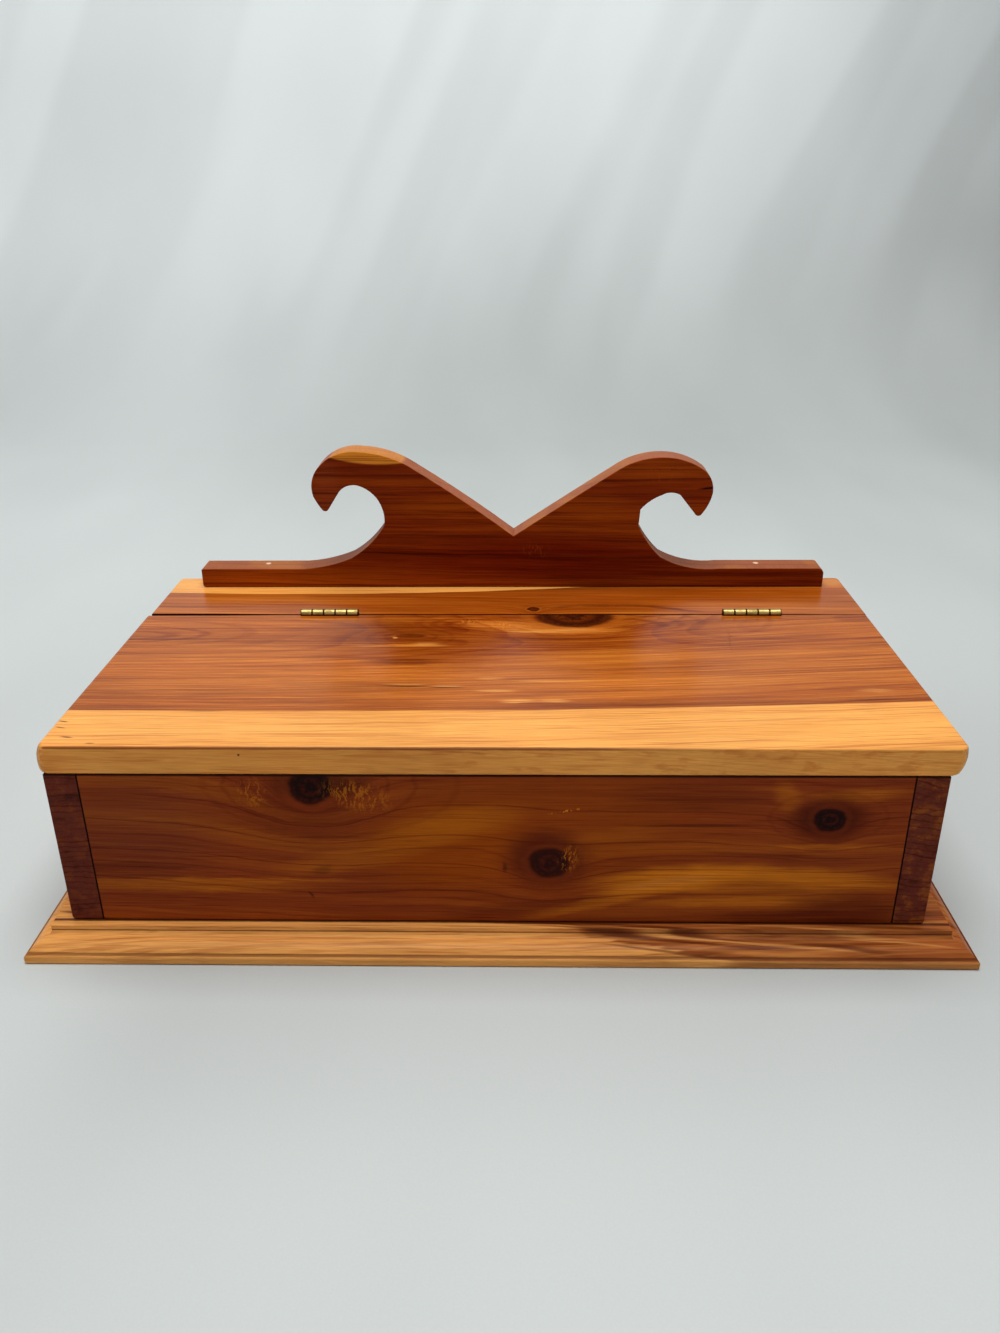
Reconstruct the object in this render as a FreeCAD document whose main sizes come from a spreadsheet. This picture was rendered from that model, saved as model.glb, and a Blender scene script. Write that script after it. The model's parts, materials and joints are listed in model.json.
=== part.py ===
import FreeCAD, Part
import math
import os

import Sketcher
from FreeCAD import Placement, Rotation, Vector

# Wooden desk box: a moulded base, four butted walls, a lid on two brass hinges, and a
# fixed strip behind the lid that carries a board sawn into two scrolls.
# X runs along the front, Y from front to back, Z up. The origin is on the table, at the
# middle of the base. Lengths are in millimetres.

SIZES = {
    # Walls
    "board_thickness": 17.4,
    "box_width": 466.0,
    "box_depth": 254.0,
    "wall_height": 92.1,
    "box_shift": -1.8,
    "wall_foot_round": 2.5,
    "wall_edge_round": 0.8,
    "joint_chamfer": 0.5,
    # Base and its moulded edge, from the bottom up
    "base_thickness": 16.3,
    "base_front_lip": 17.5,
    "base_side_lip": 24.0,
    "base_bottom_round": 0.8,
    "band_height": 3.7,
    "band_round": 1.9,
    "moulding_width": 12.2,
    "moulding_step": 2.6,
    # Lid and the fixed strip behind it
    "lid_thickness": 16.1,
    "lid_left_overhang": 1.2,
    "lid_right_overhang": 8.3,
    "lid_corner_round": 6.0,
    "lid_top_round": 1.1,
    "lid_bottom_round": 1.6,
    "strip_depth": 70.4,
    "strip_end_inset": 0.7,
    "strip_corner_round": 3.5,
    "joint_gap": 1.8,
    # Scroll board
    "scroll_left_setback": 21.1,
    "scroll_right_setback": 15.8,
    "scroll_thickness": 19.0,
    "scroll_end_height": 13.6,
    "scroll_valley_height": 37.4,
    "scroll_valley_shift": 2.0,
    "scroll_left_crest": 96.4,
    "scroll_right_crest": 91.8,
    "scroll_left_round": 1.5,
    "scroll_right_round": 4.0,
    # Butt hinges
    "hinge_length": 38.1,
    "hinge_left_inset": 101.5,
    "hinge_right_inset": 56.7,
    "hinge_axis_rise": 1.2,
    "knuckle_radius": 2.5,
    "knuckle_gap": 0.3,
    "barrel_relief": 0.3,
    "pin_radius": 1.25,
    "pin_clearance": 0.05,
    "leaf_thickness": 1.2,
    "leaf_reach": 12.7,
    # Hinge screws
    "hinge_screw_spacing": 22.0,
    "hinge_screw_head_radius": 2.25,
    "hinge_screw_radius": 1.15,
    "hinge_screw_length": 12.7,
    # Screws that hold the base
    "base_screw_inset": 35.6,
    "base_screw_head_radius": 3.4,
    "base_screw_radius": 1.75,
    "base_screw_length": 38.1,
    # Nails
    "nail_radius": 0.9,
    "nail_head_radius": 1.5,
    "nail_length": 38.1,
    "scroll_nail_inset": 45.2,
    "scroll_nail_setback": 12.0,
    # Play round a nail or screw, room past its end, and how far a cut runs past a face
    "fastener_clearance": 0.05,
    "fastener_end_room": 0.5,
    "overrun": 5.0,
}

KNUCKLES = 5
BASE_SCREWS_IN_A_ROW = 3

# Moulded edge between its groove and the foot of its step: a bead, then a cove. Each point
# is a share of the run inward and a share of the rise. Every second one is mid-curve.
OGEE_SHARES = [(0.0, 0.0), (0.327, 0.42), (0.759, 0.64), (0.932, 0.765), (1.0, 1.0)]

# Half of the scroll board's sawn edge, from the valley over the crest, round the hook and
# out along the low end. Each point is a share of the half width, and a share of the rise
# from the low end to the crest. A point with four numbers ends a curve, whose middle the
# last two give.
LEFT_SCROLL_SHARES = [
    (0.297, 0.850, 0.131, 0.558),
    (0.466, 1.000, 0.381, 0.959),
    (0.597, 0.867, 0.538, 0.977),
    (0.618, 0.630, 0.619, 0.754),
    (0.593, 0.516, 0.607, 0.572),
    (0.573, 0.517, 0.583, 0.502),
    (0.542, 0.641),
    (0.473, 0.715, 0.515, 0.708),
    (0.404, 0.529, 0.431, 0.647),
    (0.400, 0.378, 0.398, 0.452),
    (0.511, 0.095, 0.450, 0.215),
    (0.665, 0.000, 0.578, 0.036),
]
RIGHT_SCROLL_SHARES = [
    (0.322, 0.873, 0.151, 0.565),
    (0.455, 1.000, 0.385, 0.963),
    (0.601, 0.882, 0.537, 0.972),
    (0.628, 0.670, 0.625, 0.780),
    (0.598, 0.496, 0.617, 0.581),
    (0.578, 0.499, 0.588, 0.482),
    (0.529, 0.668),
    (0.471, 0.668, 0.501, 0.691),
    (0.407, 0.541, 0.437, 0.618),
    (0.403, 0.395),
    (0.477, 0.106, 0.433, 0.248),
    (0.665, 0.000, 0.541, 0.031),
]

# Place of the nails along the height of a wall, from either edge
SIDE_NAIL_SHARE = 0.24
# Middle of a quarter round, measured from the corner that it takes off
ROUND_MIDDLE_SHARE = 1 - math.sqrt(0.5)

# Places that the pieces share, worked out from the sizes
BASE_DEPTH = "(Sizes.base_front_lip + Sizes.box_depth)"
BASE_WIDTH = "(Sizes.box_width + 2 * Sizes.base_side_lip)"
BOX_LEFT = "(Sizes.box_shift - Sizes.box_width / 2)"
BOX_RIGHT = "(Sizes.box_shift + Sizes.box_width / 2)"
BOX_FRONT = f"(Sizes.base_front_lip - {BASE_DEPTH} / 2)"
BOX_BACK = f"({BASE_DEPTH} / 2)"
INNER_WIDTH = "(Sizes.box_width - 2 * Sizes.board_thickness)"
BASE_SCREW_SPACING = (
    f"(({INNER_WIDTH} - 2 * Sizes.base_screw_inset) / {BASE_SCREWS_IN_A_ROW - 1})"
)
WALL_TOP = "(Sizes.base_thickness + Sizes.wall_height)"
LID_TOP = f"({WALL_TOP} + Sizes.lid_thickness)"
COVER_WIDTH = "(Sizes.box_width + Sizes.lid_right_overhang)"
LID_LEFT = f"({BOX_LEFT} - Sizes.lid_left_overhang)"
LID_WIDTH = f"({COVER_WIDTH} + Sizes.lid_left_overhang)"
LID_DEPTH = "(Sizes.box_depth - Sizes.strip_depth - Sizes.joint_gap)"
STRIP_WIDTH = f"({COVER_WIDTH} - 2 * Sizes.strip_end_inset)"
STRIP_LEFT = f"({BOX_LEFT} + Sizes.strip_end_inset)"
SCROLL_LEFT = f"({STRIP_LEFT} + Sizes.scroll_left_setback)"
SCROLL_WIDTH = (
    f"({STRIP_WIDTH} - Sizes.scroll_left_setback - Sizes.scroll_right_setback)"
)
HINGE_Y = f"({BOX_BACK} - Sizes.strip_depth - Sizes.joint_gap / 2)"
HINGE_Z = f"({LID_TOP} + Sizes.hinge_axis_rise)"
LEFT_HINGE_X = f"({BOX_LEFT} + Sizes.hinge_left_inset)"
RIGHT_HINGE_X = (
    f"({BOX_LEFT} + {COVER_WIDTH} - Sizes.hinge_right_inset - Sizes.hinge_length)"
)
HINGES = {"left": LEFT_HINGE_X, "right": RIGHT_HINGE_X}
HINGE_SCREW_DROP = "((Sizes.knuckle_radius + Sizes.leaf_reach) / 2)"
HALF_THICKNESS = "(Sizes.board_thickness / 2)"
SCROLL_NAIL_FROM_BACK = "(Sizes.scroll_thickness - Sizes.scroll_nail_setback)"
NAIL_HOLE = "(2 * (Sizes.nail_radius + Sizes.fastener_clearance))"
NAIL_HEAD_HOLE = "(2 * (Sizes.nail_head_radius + Sizes.fastener_clearance))"
HINGE_SCREW_HOLE = "(2 * (Sizes.hinge_screw_radius + Sizes.fastener_clearance))"
HINGE_SCREW_HEAD_HOLE = (
    "(2 * (Sizes.hinge_screw_head_radius + Sizes.fastener_clearance))"
)
BASE_SCREW_HOLE = "(2 * (Sizes.base_screw_radius + Sizes.fastener_clearance))"
BASE_SCREW_HEAD_HOLE = "(2 * (Sizes.base_screw_head_radius + Sizes.fastener_clearance))"

# A direction's plane, its sketch offset for a place along it, and whether a pad or a cut
# that runs that way is reversed
DIRECTIONS = {
    "right": ("YZ_Plane", 1, False, True),
    "left": ("YZ_Plane", 1, True, False),
    "back": ("XZ_Plane", -1, True, False),
    "front": ("XZ_Plane", -1, False, True),
    "up": ("XY_Plane", 1, False, True),
    "down": ("XY_Plane", 1, True, False),
}

doc = FreeCAD.newDocument("DeskBox")
sheet = doc.addObject("Spreadsheet::Sheet", "Sizes")
for row, (name, size) in enumerate(SIZES.items(), start=1):
    sheet.set(f"A{row}", name)
    sheet.set(f"B{row}", str(size))
    sheet.setAlias(f"B{row}", name)
doc.recompute()

pieces = []


def new_body(label, x, y, z):
    """An empty body whose own origin stands at the place that the expressions give."""
    body = doc.addObject("PartDesign::Body", label)
    body.Label = label
    body.AllowCompound = True
    body.setExpression("Placement.Base.x", x)
    body.setExpression("Placement.Base.y", y)
    body.setExpression("Placement.Base.z", z)
    pieces.append(body)
    return body


def origin_feature(body, role):
    return [f for f in body.Origin.OriginFeatures if f.Role == role][0]


def new_sketch(body, name, direction, place="0"):
    """A sketch square to a direction, at a place along that direction's axis."""
    role, sign, _, _ = DIRECTIONS[direction]
    sketch = body.newObject("Sketcher::SketchObject", name)
    sketch.AttachmentSupport = [(origin_feature(body, role), "")]
    sketch.MapMode = "FlatFace"
    sketch.setExpression("AttachmentOffset.Base.z", f"{sign} * ({place})")
    return sketch


def point(sketch, x, y):
    return Vector(float(sketch.evalExpression(x)), float(sketch.evalExpression(y)), 0)


def bind_points(sketch, places, others=()):
    """Ties geometry points to expressions. A place is (geometry, point, x, y)."""
    constraints = list(others)
    bindings = []
    for geometry, end, x, y in places:
        at = point(sketch, x, y)
        for kind, value, expression in (("DistanceX", at.x, x), ("DistanceY", at.y, y)):
            bindings.append((len(constraints), expression))
            constraints.append(
                Sketcher.Constraint(kind, -1, 1, geometry, end, value)
            )
    first = sketch.addConstraint(constraints)[0]
    for index, expression in bindings:
        sketch.setExpression(f"Constraints[{first + index}]", expression)


def circle_through(start, middle, end):
    """Centre of the circle through three points, and whether they run anticlockwise."""
    a = middle - start
    b = end - start
    cross = a.x * b.y - a.y * b.x
    across = Vector(
        b.y * a.dot(a) - a.y * b.dot(b), a.x * b.dot(b) - b.x * a.dot(a), 0
    )
    return start + across / (2 * cross), cross > 0


def draw_outline(sketch, corners):
    """A closed outline of expressions: (x, y) ends a line, (x, y, mid_x, mid_y) an arc."""
    ends = []
    middles = []
    count = len(corners)
    first_side = sketch.GeometryCount
    for index, corner in enumerate(corners):
        before = corners[index - 1]
        start = point(sketch, before[0], before[1])
        end = point(sketch, corner[0], corner[1])
        if len(corner) == 2:
            sketch.addGeometry(Part.LineSegment(start, end))
            ends.append((1, 2))
            continue
        middle = point(sketch, corner[2], corner[3])
        centre, anticlockwise = circle_through(start, middle, end)
        first, last = (start, end) if anticlockwise else (end, start)
        angles = [math.atan2(p.y - centre.y, p.x - centre.x) for p in (first, last)]
        if angles[1] < angles[0]:
            angles[1] += math.tau
        circle = Part.Circle(centre, Vector(0, 0, 1), (start - centre).Length)
        sketch.addGeometry(Part.ArcOfCircle(circle, *angles))
        ends.append((1, 2) if anticlockwise else (2, 1))
        middles.append((index, corner[2], corner[3]))
    chain = [
        Sketcher.Constraint(
            "Coincident", first_side + (index - 1) % count, ends[index - 1][1],
            first_side + index, ends[index][0],
        )
        for index in range(count)
    ]
    places = [(first_side + i, ends[i][1], c[0], c[1]) for i, c in enumerate(corners)]
    for index, x, y in middles:
        mark = sketch.addGeometry(Part.Point(point(sketch, x, y)), True)
        chain.append(Sketcher.Constraint("PointOnObject", mark, 1, first_side + index))
        places.append((mark, 1, x, y))
    bind_points(sketch, places, chain)


def draw_rectangle(sketch, x0, x1, y0, y1):
    draw_outline(sketch, [(x0, y0), (x1, y0), (x1, y1), (x0, y1)])


def draw_circles(sketch, centres, diameter):
    """Circles of one diameter, each centre an (x, y) of expressions."""
    radius = float(sketch.evalExpression(diameter)) / 2
    for x, y in centres:
        index = sketch.addGeometry(
            Part.Circle(point(sketch, x, y), Vector(0, 0, 1), radius)
        )
        bind_points(sketch, [(index, 3, x, y)])
        constraint = sketch.addConstraint(
            Sketcher.Constraint("Diameter", index, 2 * radius)
        )
        sketch.setExpression(f"Constraints[{constraint}]", diameter)


def pad(body, sketch, direction, length, name="Board"):
    feature = body.newObject("PartDesign::Pad", name)
    feature.Profile = sketch
    feature.Reversed = DIRECTIONS[direction][2]
    feature.setExpression("Length", length)
    doc.recompute()
    return feature


def must_shrink(body, before, name):
    if not body.Shape.Volume < before:
        raise RuntimeError(f"{body.Label}: {name} takes nothing away")


def cut(body, sketch, direction, length, name):
    before = body.Shape.Volume
    feature = body.newObject("PartDesign::Pocket", name)
    feature.Profile = sketch
    feature.Reversed = DIRECTIONS[direction][3]
    feature.setExpression("Length", length)
    doc.recompute()
    must_shrink(body, before, name)
    return feature


def drill(body, name, direction, place, centres, diameter, depth, head_diameter=None):
    """Holes that run one way from a face, countersunk where a head's diameter is given."""
    sketch = new_sketch(body, name + "Centres", direction, place)
    draw_circles(sketch, centres, diameter)
    doc.recompute()
    before = body.Shape.Volume
    hole = body.newObject("PartDesign::Hole", name)
    hole.Profile = sketch
    doc.recompute()
    hole.Reversed = DIRECTIONS[direction][3]
    hole.DepthType = "Dimension"
    hole.DrillPoint = "Flat"
    hole.setExpression("Diameter", diameter)
    hole.setExpression("Depth", depth)
    if head_diameter:
        hole.HoleCutType = "Countersink"
        hole.HoleCutCustomValues = True
        hole.HoleCutCountersinkAngle = 90
        hole.setExpression("HoleCutDiameter", head_diameter)
    doc.recompute()
    must_shrink(body, before, name)


def ease(body, kind, name, size, test, unless=lambda p: False):
    """A fillet or chamfer on each edge whose ends and middle all pass the test.

    An edge whose points all pass the second test stays sharp.
    """
    names = []
    for index, edge in enumerate(body.Tip.Shape.Edges, start=1):
        middle = edge.valueAt((edge.FirstParameter + edge.LastParameter) / 2)
        points = [v.Point for v in edge.Vertexes] + [middle]
        if all(map(test, points)) and not all(map(unless, points)):
            names.append(f"Edge{index}")
    if not names:
        raise RuntimeError(f"{body.Label}: {name} finds no edge")
    base = body.Tip
    feature = body.newObject("PartDesign::" + kind, name)
    feature.Base = (base, names)
    feature.setExpression("Radius" if kind == "Fillet" else "Size", size)
    doc.recompute()


def near(a, b):
    return abs(a - b) < 1e-6


def value(expression):
    return float(sheet.evalExpression(expression))


def rectangle_board(label, x, y, z, width, depth, height):
    body = new_body(label, x, y, z)
    sketch = new_sketch(body, "Outline", "up")
    draw_rectangle(sketch, "0", width, "0", depth)
    pad(body, sketch, "up", height)
    return body


# Base

GROOVE_HEIGHT = "(Sizes.band_height + Sizes.band_round)"
STEP_FOOT = "(Sizes.base_thickness - Sizes.moulding_step)"


def moulding_points():
    """The moulded edge from the bottom up: (inset, height), with a middle where curved."""
    r = "Sizes.base_bottom_round"
    band = "Sizes.band_round"
    run = f"(Sizes.moulding_width - {band})"
    rise = f"({STEP_FOOT} - {GROOVE_HEIGHT})"
    middle = ROUND_MIDDLE_SHARE
    ogee = [
        (f"{band} + {a} * {run}", f"{GROOVE_HEIGHT} + {b} * {rise}")
        for a, b in OGEE_SHARES
    ]
    return [
        (r, "0"),
        ("0", r, f"{middle} * {r}", f"{middle} * {r}"),
        ("0", "Sizes.band_height"),
        (
            band, GROOVE_HEIGHT, f"{middle} * {band}",
            f"{GROOVE_HEIGHT} - {middle} * {band}",
        ),
        ogee[2] + ogee[1],
        ogee[4] + ogee[3],
        ("Sizes.moulding_width", "Sizes.base_thickness"),
    ]


def mirrored(corners, half):
    """A half outline about x = 0 carried on to the other side, in one closed run."""
    right = []
    for corner in corners:
        x = [f"{half} - ({v})" if i % 2 == 0 else v for i, v in enumerate(corner)]
        right.append(tuple(x))
    left = []
    for index in range(len(corners) - 1, -1, -1):
        x, y = corners[index][:2]
        middle = ()
        if index + 1 < len(corners) and len(corners[index + 1]) == 4:
            mx, my = corners[index + 1][2:]
            middle = (f"({mx}) - {half}", my)
        left.append((f"({x}) - {half}", y) + middle)
    return right + left


def base_plate():
    body = new_body("base_plate", "0", f"-{BASE_DEPTH} / 2", "0")
    moulding = moulding_points()
    ends = new_sketch(body, "EndProfile", "back")
    draw_outline(ends, mirrored(moulding, f"{BASE_WIDTH} / 2"))
    pad(body, ends, "back", BASE_DEPTH)
    over = "Sizes.overrun"
    waste = [
        (f"-{over}", f"Sizes.base_thickness + {over}"),
        (f"-{over}", f"-{over}"),
        (moulding[0][0], f"-{over}"),
    ]
    waste += moulding
    waste += [(moulding[-1][0], f"Sizes.base_thickness + {over}")]
    front = new_sketch(body, "FrontMoulding", "right", f"-{BASE_WIDTH} / 2 - {over}")
    draw_outline(front, waste)
    cut(body, front, "right", f"{BASE_WIDTH} + 2 * {over}", "FrontRouting")
    rows = [
        f"Sizes.base_front_lip + {HALF_THICKNESS}",
        f"{BASE_DEPTH} - {HALF_THICKNESS}",
    ]
    centres = [(x, y) for y in rows for x in base_screw_columns("Sizes.box_shift")]
    drill(
        body, "ScrewHoles", "up", "0", centres, BASE_SCREW_HOLE,
        "Sizes.base_thickness + Sizes.overrun",
        BASE_SCREW_HEAD_HOLE,
    )


def base_screw_columns(middle):
    half = (BASE_SCREWS_IN_A_ROW - 1) / 2
    return [
        f"{middle} + {index - half} * {BASE_SCREW_SPACING}"
        for index in range(BASE_SCREWS_IN_A_ROW)
    ]


# Walls

def nail_heights():
    return [
        f"{share} * Sizes.wall_height"
        for share in (SIDE_NAIL_SHARE, 1 - SIDE_NAIL_SHARE)
    ]


def side_panel(side):
    """A side wall, as deep as the box, with its outer bottom corner worn round."""
    left = side == "left"
    x = BOX_LEFT if left else f"{BOX_RIGHT} - Sizes.board_thickness"
    body = new_body(f"side_panel_{side}", x, BOX_FRONT, "Sizes.base_thickness")
    t = "Sizes.board_thickness"
    r = "Sizes.wall_foot_round"
    middle = f"{ROUND_MIDDLE_SHARE} * {r}"
    if left:
        corners = [
            (t, "0"), (t, "Sizes.wall_height"), ("0", "Sizes.wall_height"),
            ("0", r), (r, "0", middle, middle),
        ]
    else:
        corners = [
            ("0", "0"), (f"{t} - {r}", "0"),
            (t, r, f"{t} - {middle}", middle),
            (t, "Sizes.wall_height"), ("0", "Sizes.wall_height"),
        ]
    sketch = new_sketch(body, "EndGrain", "back")
    draw_outline(sketch, corners)
    pad(body, sketch, "back", "Sizes.box_depth")
    outer = 0.0 if left else value(t)
    foot = value(r)
    ease(
        body, "Fillet", "FrontEdge", "Sizes.wall_edge_round",
        lambda p: near(p.y, 0) and near(p.x, outer) and p.z > foot - 1e-6,
    )
    rows = [HALF_THICKNESS, f"Sizes.box_depth - {HALF_THICKNESS}"]
    drill(
        body, "NailHoles", "right" if left else "left", "0" if left else t,
        [(y, z) for y in rows for z in nail_heights()],
        NAIL_HOLE, f"{t} + Sizes.overrun",
        NAIL_HEAD_HOLE,
    )


def end_wall(label, y):
    """The front or back wall, which fits between the side walls."""
    body = rectangle_board(
        label, f"{BOX_LEFT} + Sizes.board_thickness", y, "Sizes.base_thickness",
        INNER_WIDTH, "Sizes.board_thickness", "Sizes.wall_height",
    )
    width = value(INNER_WIDTH)
    depth = "(Sizes.nail_length - Sizes.board_thickness + Sizes.fastener_end_room)"
    centres = [(HALF_THICKNESS, z) for z in nail_heights()]
    outside = 0.0 if label == "front_panel" else value("Sizes.board_thickness")
    ease(
        body, "Chamfer", "JointEdges", "Sizes.joint_chamfer",
        lambda p: near(p.y, outside) and (near(p.x, 0) or near(p.x, width)),
    )
    drill(body, "LeftNails", "right", "0", centres, NAIL_HOLE, depth)
    drill(body, "RightNails", "left", INNER_WIDTH, centres, NAIL_HOLE, depth)
    drill(
        body, "BaseScrews", "up", "0",
        [(x, HALF_THICKNESS) for x in base_screw_columns(f"{INNER_WIDTH} / 2")],
        BASE_SCREW_HOLE,
        "Sizes.base_screw_length - Sizes.base_thickness + Sizes.fastener_end_room",
    )
    return body


def scroll_nail_columns(board_left):
    """The scroll board's two nails, seen from a board whose left end is given."""
    inset = "Sizes.scroll_nail_inset"
    return [
        f"{SCROLL_LEFT} - {board_left} + {place}"
        for place in (inset, f"{SCROLL_WIDTH} - {inset}")
    ]


def walls():
    side_panel("left")
    side_panel("right")
    end_wall("front_panel", BOX_FRONT)
    back = end_wall("back_panel", f"{BOX_BACK} - Sizes.board_thickness")
    left_end = f"({BOX_LEFT} + Sizes.board_thickness)"
    drill(
        back, "ScrollNails", "down", "Sizes.wall_height",
        [
            (x, f"Sizes.board_thickness - {SCROLL_NAIL_FROM_BACK}")
            for x in scroll_nail_columns(left_end)
        ],
        NAIL_HOLE,
        "Sizes.nail_length - Sizes.scroll_end_height - Sizes.lid_thickness"
        " + Sizes.fastener_end_room",
    )


# Lid and rear strip

def hinge_mortises(body, left_end, direction, face):
    """Seats for both hinges in an edge: a shallow bed for the leaf, room for the barrel."""
    play = "Sizes.barrel_relief"
    starts = [f"({x} - {left_end} - {play})" for x in HINGES.values()]
    long = f"(Sizes.hinge_length + 2 * {play})"
    axis = "(Sizes.lid_thickness + Sizes.hinge_axis_rise)"
    beds = new_sketch(body, "LeafBeds", direction, face)
    for x in starts:
        draw_rectangle(
            beds, x, f"{x} + {long}", f"{axis} - Sizes.leaf_reach - {play}",
            "Sizes.lid_thickness + Sizes.overrun",
        )
    cut(body, beds, direction, "Sizes.leaf_thickness", "LeafMortises")
    across = (
        f"{face} + Sizes.joint_gap / 2" if direction == "front"
        else f"{face} - Sizes.joint_gap / 2"
    )
    for side, x in zip(HINGES, starts):
        barrel = new_sketch(body, f"Barrel_{side}", "right", x)
        draw_circles(barrel, [(across, axis)], f"(2 * (Sizes.knuckle_radius + {play}))")
        cut(body, barrel, "right", long, f"BarrelRoom_{side}")
    inset = "((Sizes.hinge_length - Sizes.hinge_screw_spacing) / 2)"
    columns = []
    for x in starts:
        columns.append(f"{x} + {play} + {inset}")
        columns.append(f"{x} + {play} + {inset} + Sizes.hinge_screw_spacing")
    bed = (
        f"{face} - Sizes.leaf_thickness" if direction == "front"
        else f"{face} + Sizes.leaf_thickness"
    )
    drill(
        body, "HingeScrewPilots", direction, bed,
        [(x, f"{axis} - {HINGE_SCREW_DROP}") for x in columns], HINGE_SCREW_HOLE,
        "Sizes.hinge_screw_length - Sizes.leaf_thickness + Sizes.fastener_end_room",
    )


def lid():
    body = rectangle_board(
        "lid", LID_LEFT, BOX_FRONT, WALL_TOP, LID_WIDTH, LID_DEPTH, "Sizes.lid_thickness"
    )
    width = value(LID_WIDTH)
    depth = value(LID_DEPTH)
    top = value("Sizes.lid_thickness")
    ease(
        body, "Fillet", "Corners", "Sizes.lid_corner_round",
        lambda p: near(p.y, 0) and (near(p.x, 0) or near(p.x, width)),
    )
    for name, level, size in (
        ("TopEdge", top, "Sizes.lid_top_round"),
        ("BottomEdge", 0.0, "Sizes.lid_bottom_round"),
    ):
        ease(
            body, "Fillet", name, size, lambda p: near(p.z, level),
            unless=lambda p: near(p.y, depth),
        )
    hinge_mortises(body, LID_LEFT, "front", LID_DEPTH)


def rear_strip():
    front = f"{BOX_BACK} - Sizes.strip_depth"
    body = rectangle_board(
        "rear_strip", STRIP_LEFT, front, WALL_TOP,
        STRIP_WIDTH, "Sizes.strip_depth", "Sizes.lid_thickness",
    )
    width = value(STRIP_WIDTH)
    depth = value("Sizes.strip_depth")
    top = value("Sizes.lid_thickness")
    ease(
        body, "Fillet", "RearCorners", "Sizes.strip_corner_round",
        lambda p: near(p.y, depth) and (near(p.x, 0) or near(p.x, width)),
    )
    ease(
        body, "Fillet", "EndEdges", "Sizes.lid_top_round", lambda p: near(p.z, top),
        unless=lambda p: near(p.y, 0),
    )
    hinge_mortises(body, STRIP_LEFT, "back", "0")
    drill(
        body, "ScrollNails", "down", "Sizes.lid_thickness",
        [
            (x, f"Sizes.strip_depth - {SCROLL_NAIL_FROM_BACK}")
            for x in scroll_nail_columns(STRIP_LEFT)
        ],
        NAIL_HOLE, "Sizes.lid_thickness + Sizes.overrun",
    )


# Scroll board

def scroll_half(shares, crest, sign):
    """Corners from the valley outward, for one hand of the board."""
    half = f"{SCROLL_WIDTH} / 2"
    end = "Sizes.scroll_end_height"
    corners = []
    for numbers in shares:
        corner = []
        for index in range(0, len(numbers), 2):
            corner.append(f"{sign} * {numbers[index]} * {half}")
            corner.append(f"{end} + {numbers[index + 1]} * ({crest} - {end})")
        corners.append(tuple(corner))
    return corners


def reversed_run(corners, start):
    """The same run drawn the other way, which ends at its start point."""
    back = []
    points = [start] + [c[:2] for c in corners]
    for index in range(len(corners) - 1, -1, -1):
        back.append(tuple(points[index]) + tuple(corners[index][2:]))
    return back


def scroll_board():
    half = f"{SCROLL_WIDTH} / 2"
    middle_x = f"({SCROLL_LEFT} + {half})"
    body = new_body(
        "scroll_board", middle_x, f"{BOX_BACK} - Sizes.scroll_thickness", LID_TOP
    )
    end = "Sizes.scroll_end_height"
    valley = ("Sizes.scroll_valley_shift", "Sizes.scroll_valley_height")
    left_round = "Sizes.scroll_left_round"
    right_round = "Sizes.scroll_right_round"
    middle = ROUND_MIDDLE_SHARE
    left = scroll_half(LEFT_SCROLL_SHARES, "Sizes.scroll_left_crest", -1)
    right = scroll_half(RIGHT_SCROLL_SHARES, "Sizes.scroll_right_crest", 1)
    outline = [(f"-({half})", "0"), (half, "0")]
    outline += [
        (half, f"{end} - {right_round}"),
        (
            f"{half} - {right_round}", end, f"{half} - {middle} * {right_round}",
            f"{end} - {middle} * {right_round}",
        ),
        right[-1][:2],
    ]
    outline += reversed_run(right, valley)
    outline += left
    outline += [
        (f"{left_round} - {half}", end),
        (
            f"-({half})", f"{end} - {left_round}", f"{middle} * {left_round} - {half}",
            f"{end} - {middle} * {left_round}",
        ),
    ]
    sketch = new_sketch(body, "ScrollOutline", "back")
    draw_outline(sketch, outline)
    pad(body, sketch, "back", "Sizes.scroll_thickness")
    drill(
        body, "NailHoles", "down", end,
        [(x, "Sizes.scroll_nail_setback") for x in scroll_nail_columns(middle_x)],
        NAIL_HOLE, f"{end} + Sizes.overrun",
        NAIL_HEAD_HOLE,
    )


# Hinges

def knuckle_slots(kept):
    """Stretches of the barrel that belong to the other leaf, with the running gap."""
    pitch = f"(Sizes.hinge_length / {KNUCKLES})"
    gap = "(Sizes.knuckle_gap / 2)"
    slots = []
    for index in range(KNUCKLES):
        if index in kept:
            continue
        start = f"{index} * {pitch} - {gap}" if index else "-Sizes.overrun"
        stop = f"{index + 1} * {pitch} + {gap}"
        if index == KNUCKLES - 1:
            stop = "Sizes.hinge_length + Sizes.overrun"
        slots.append((start, stop))
    return slots


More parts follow.
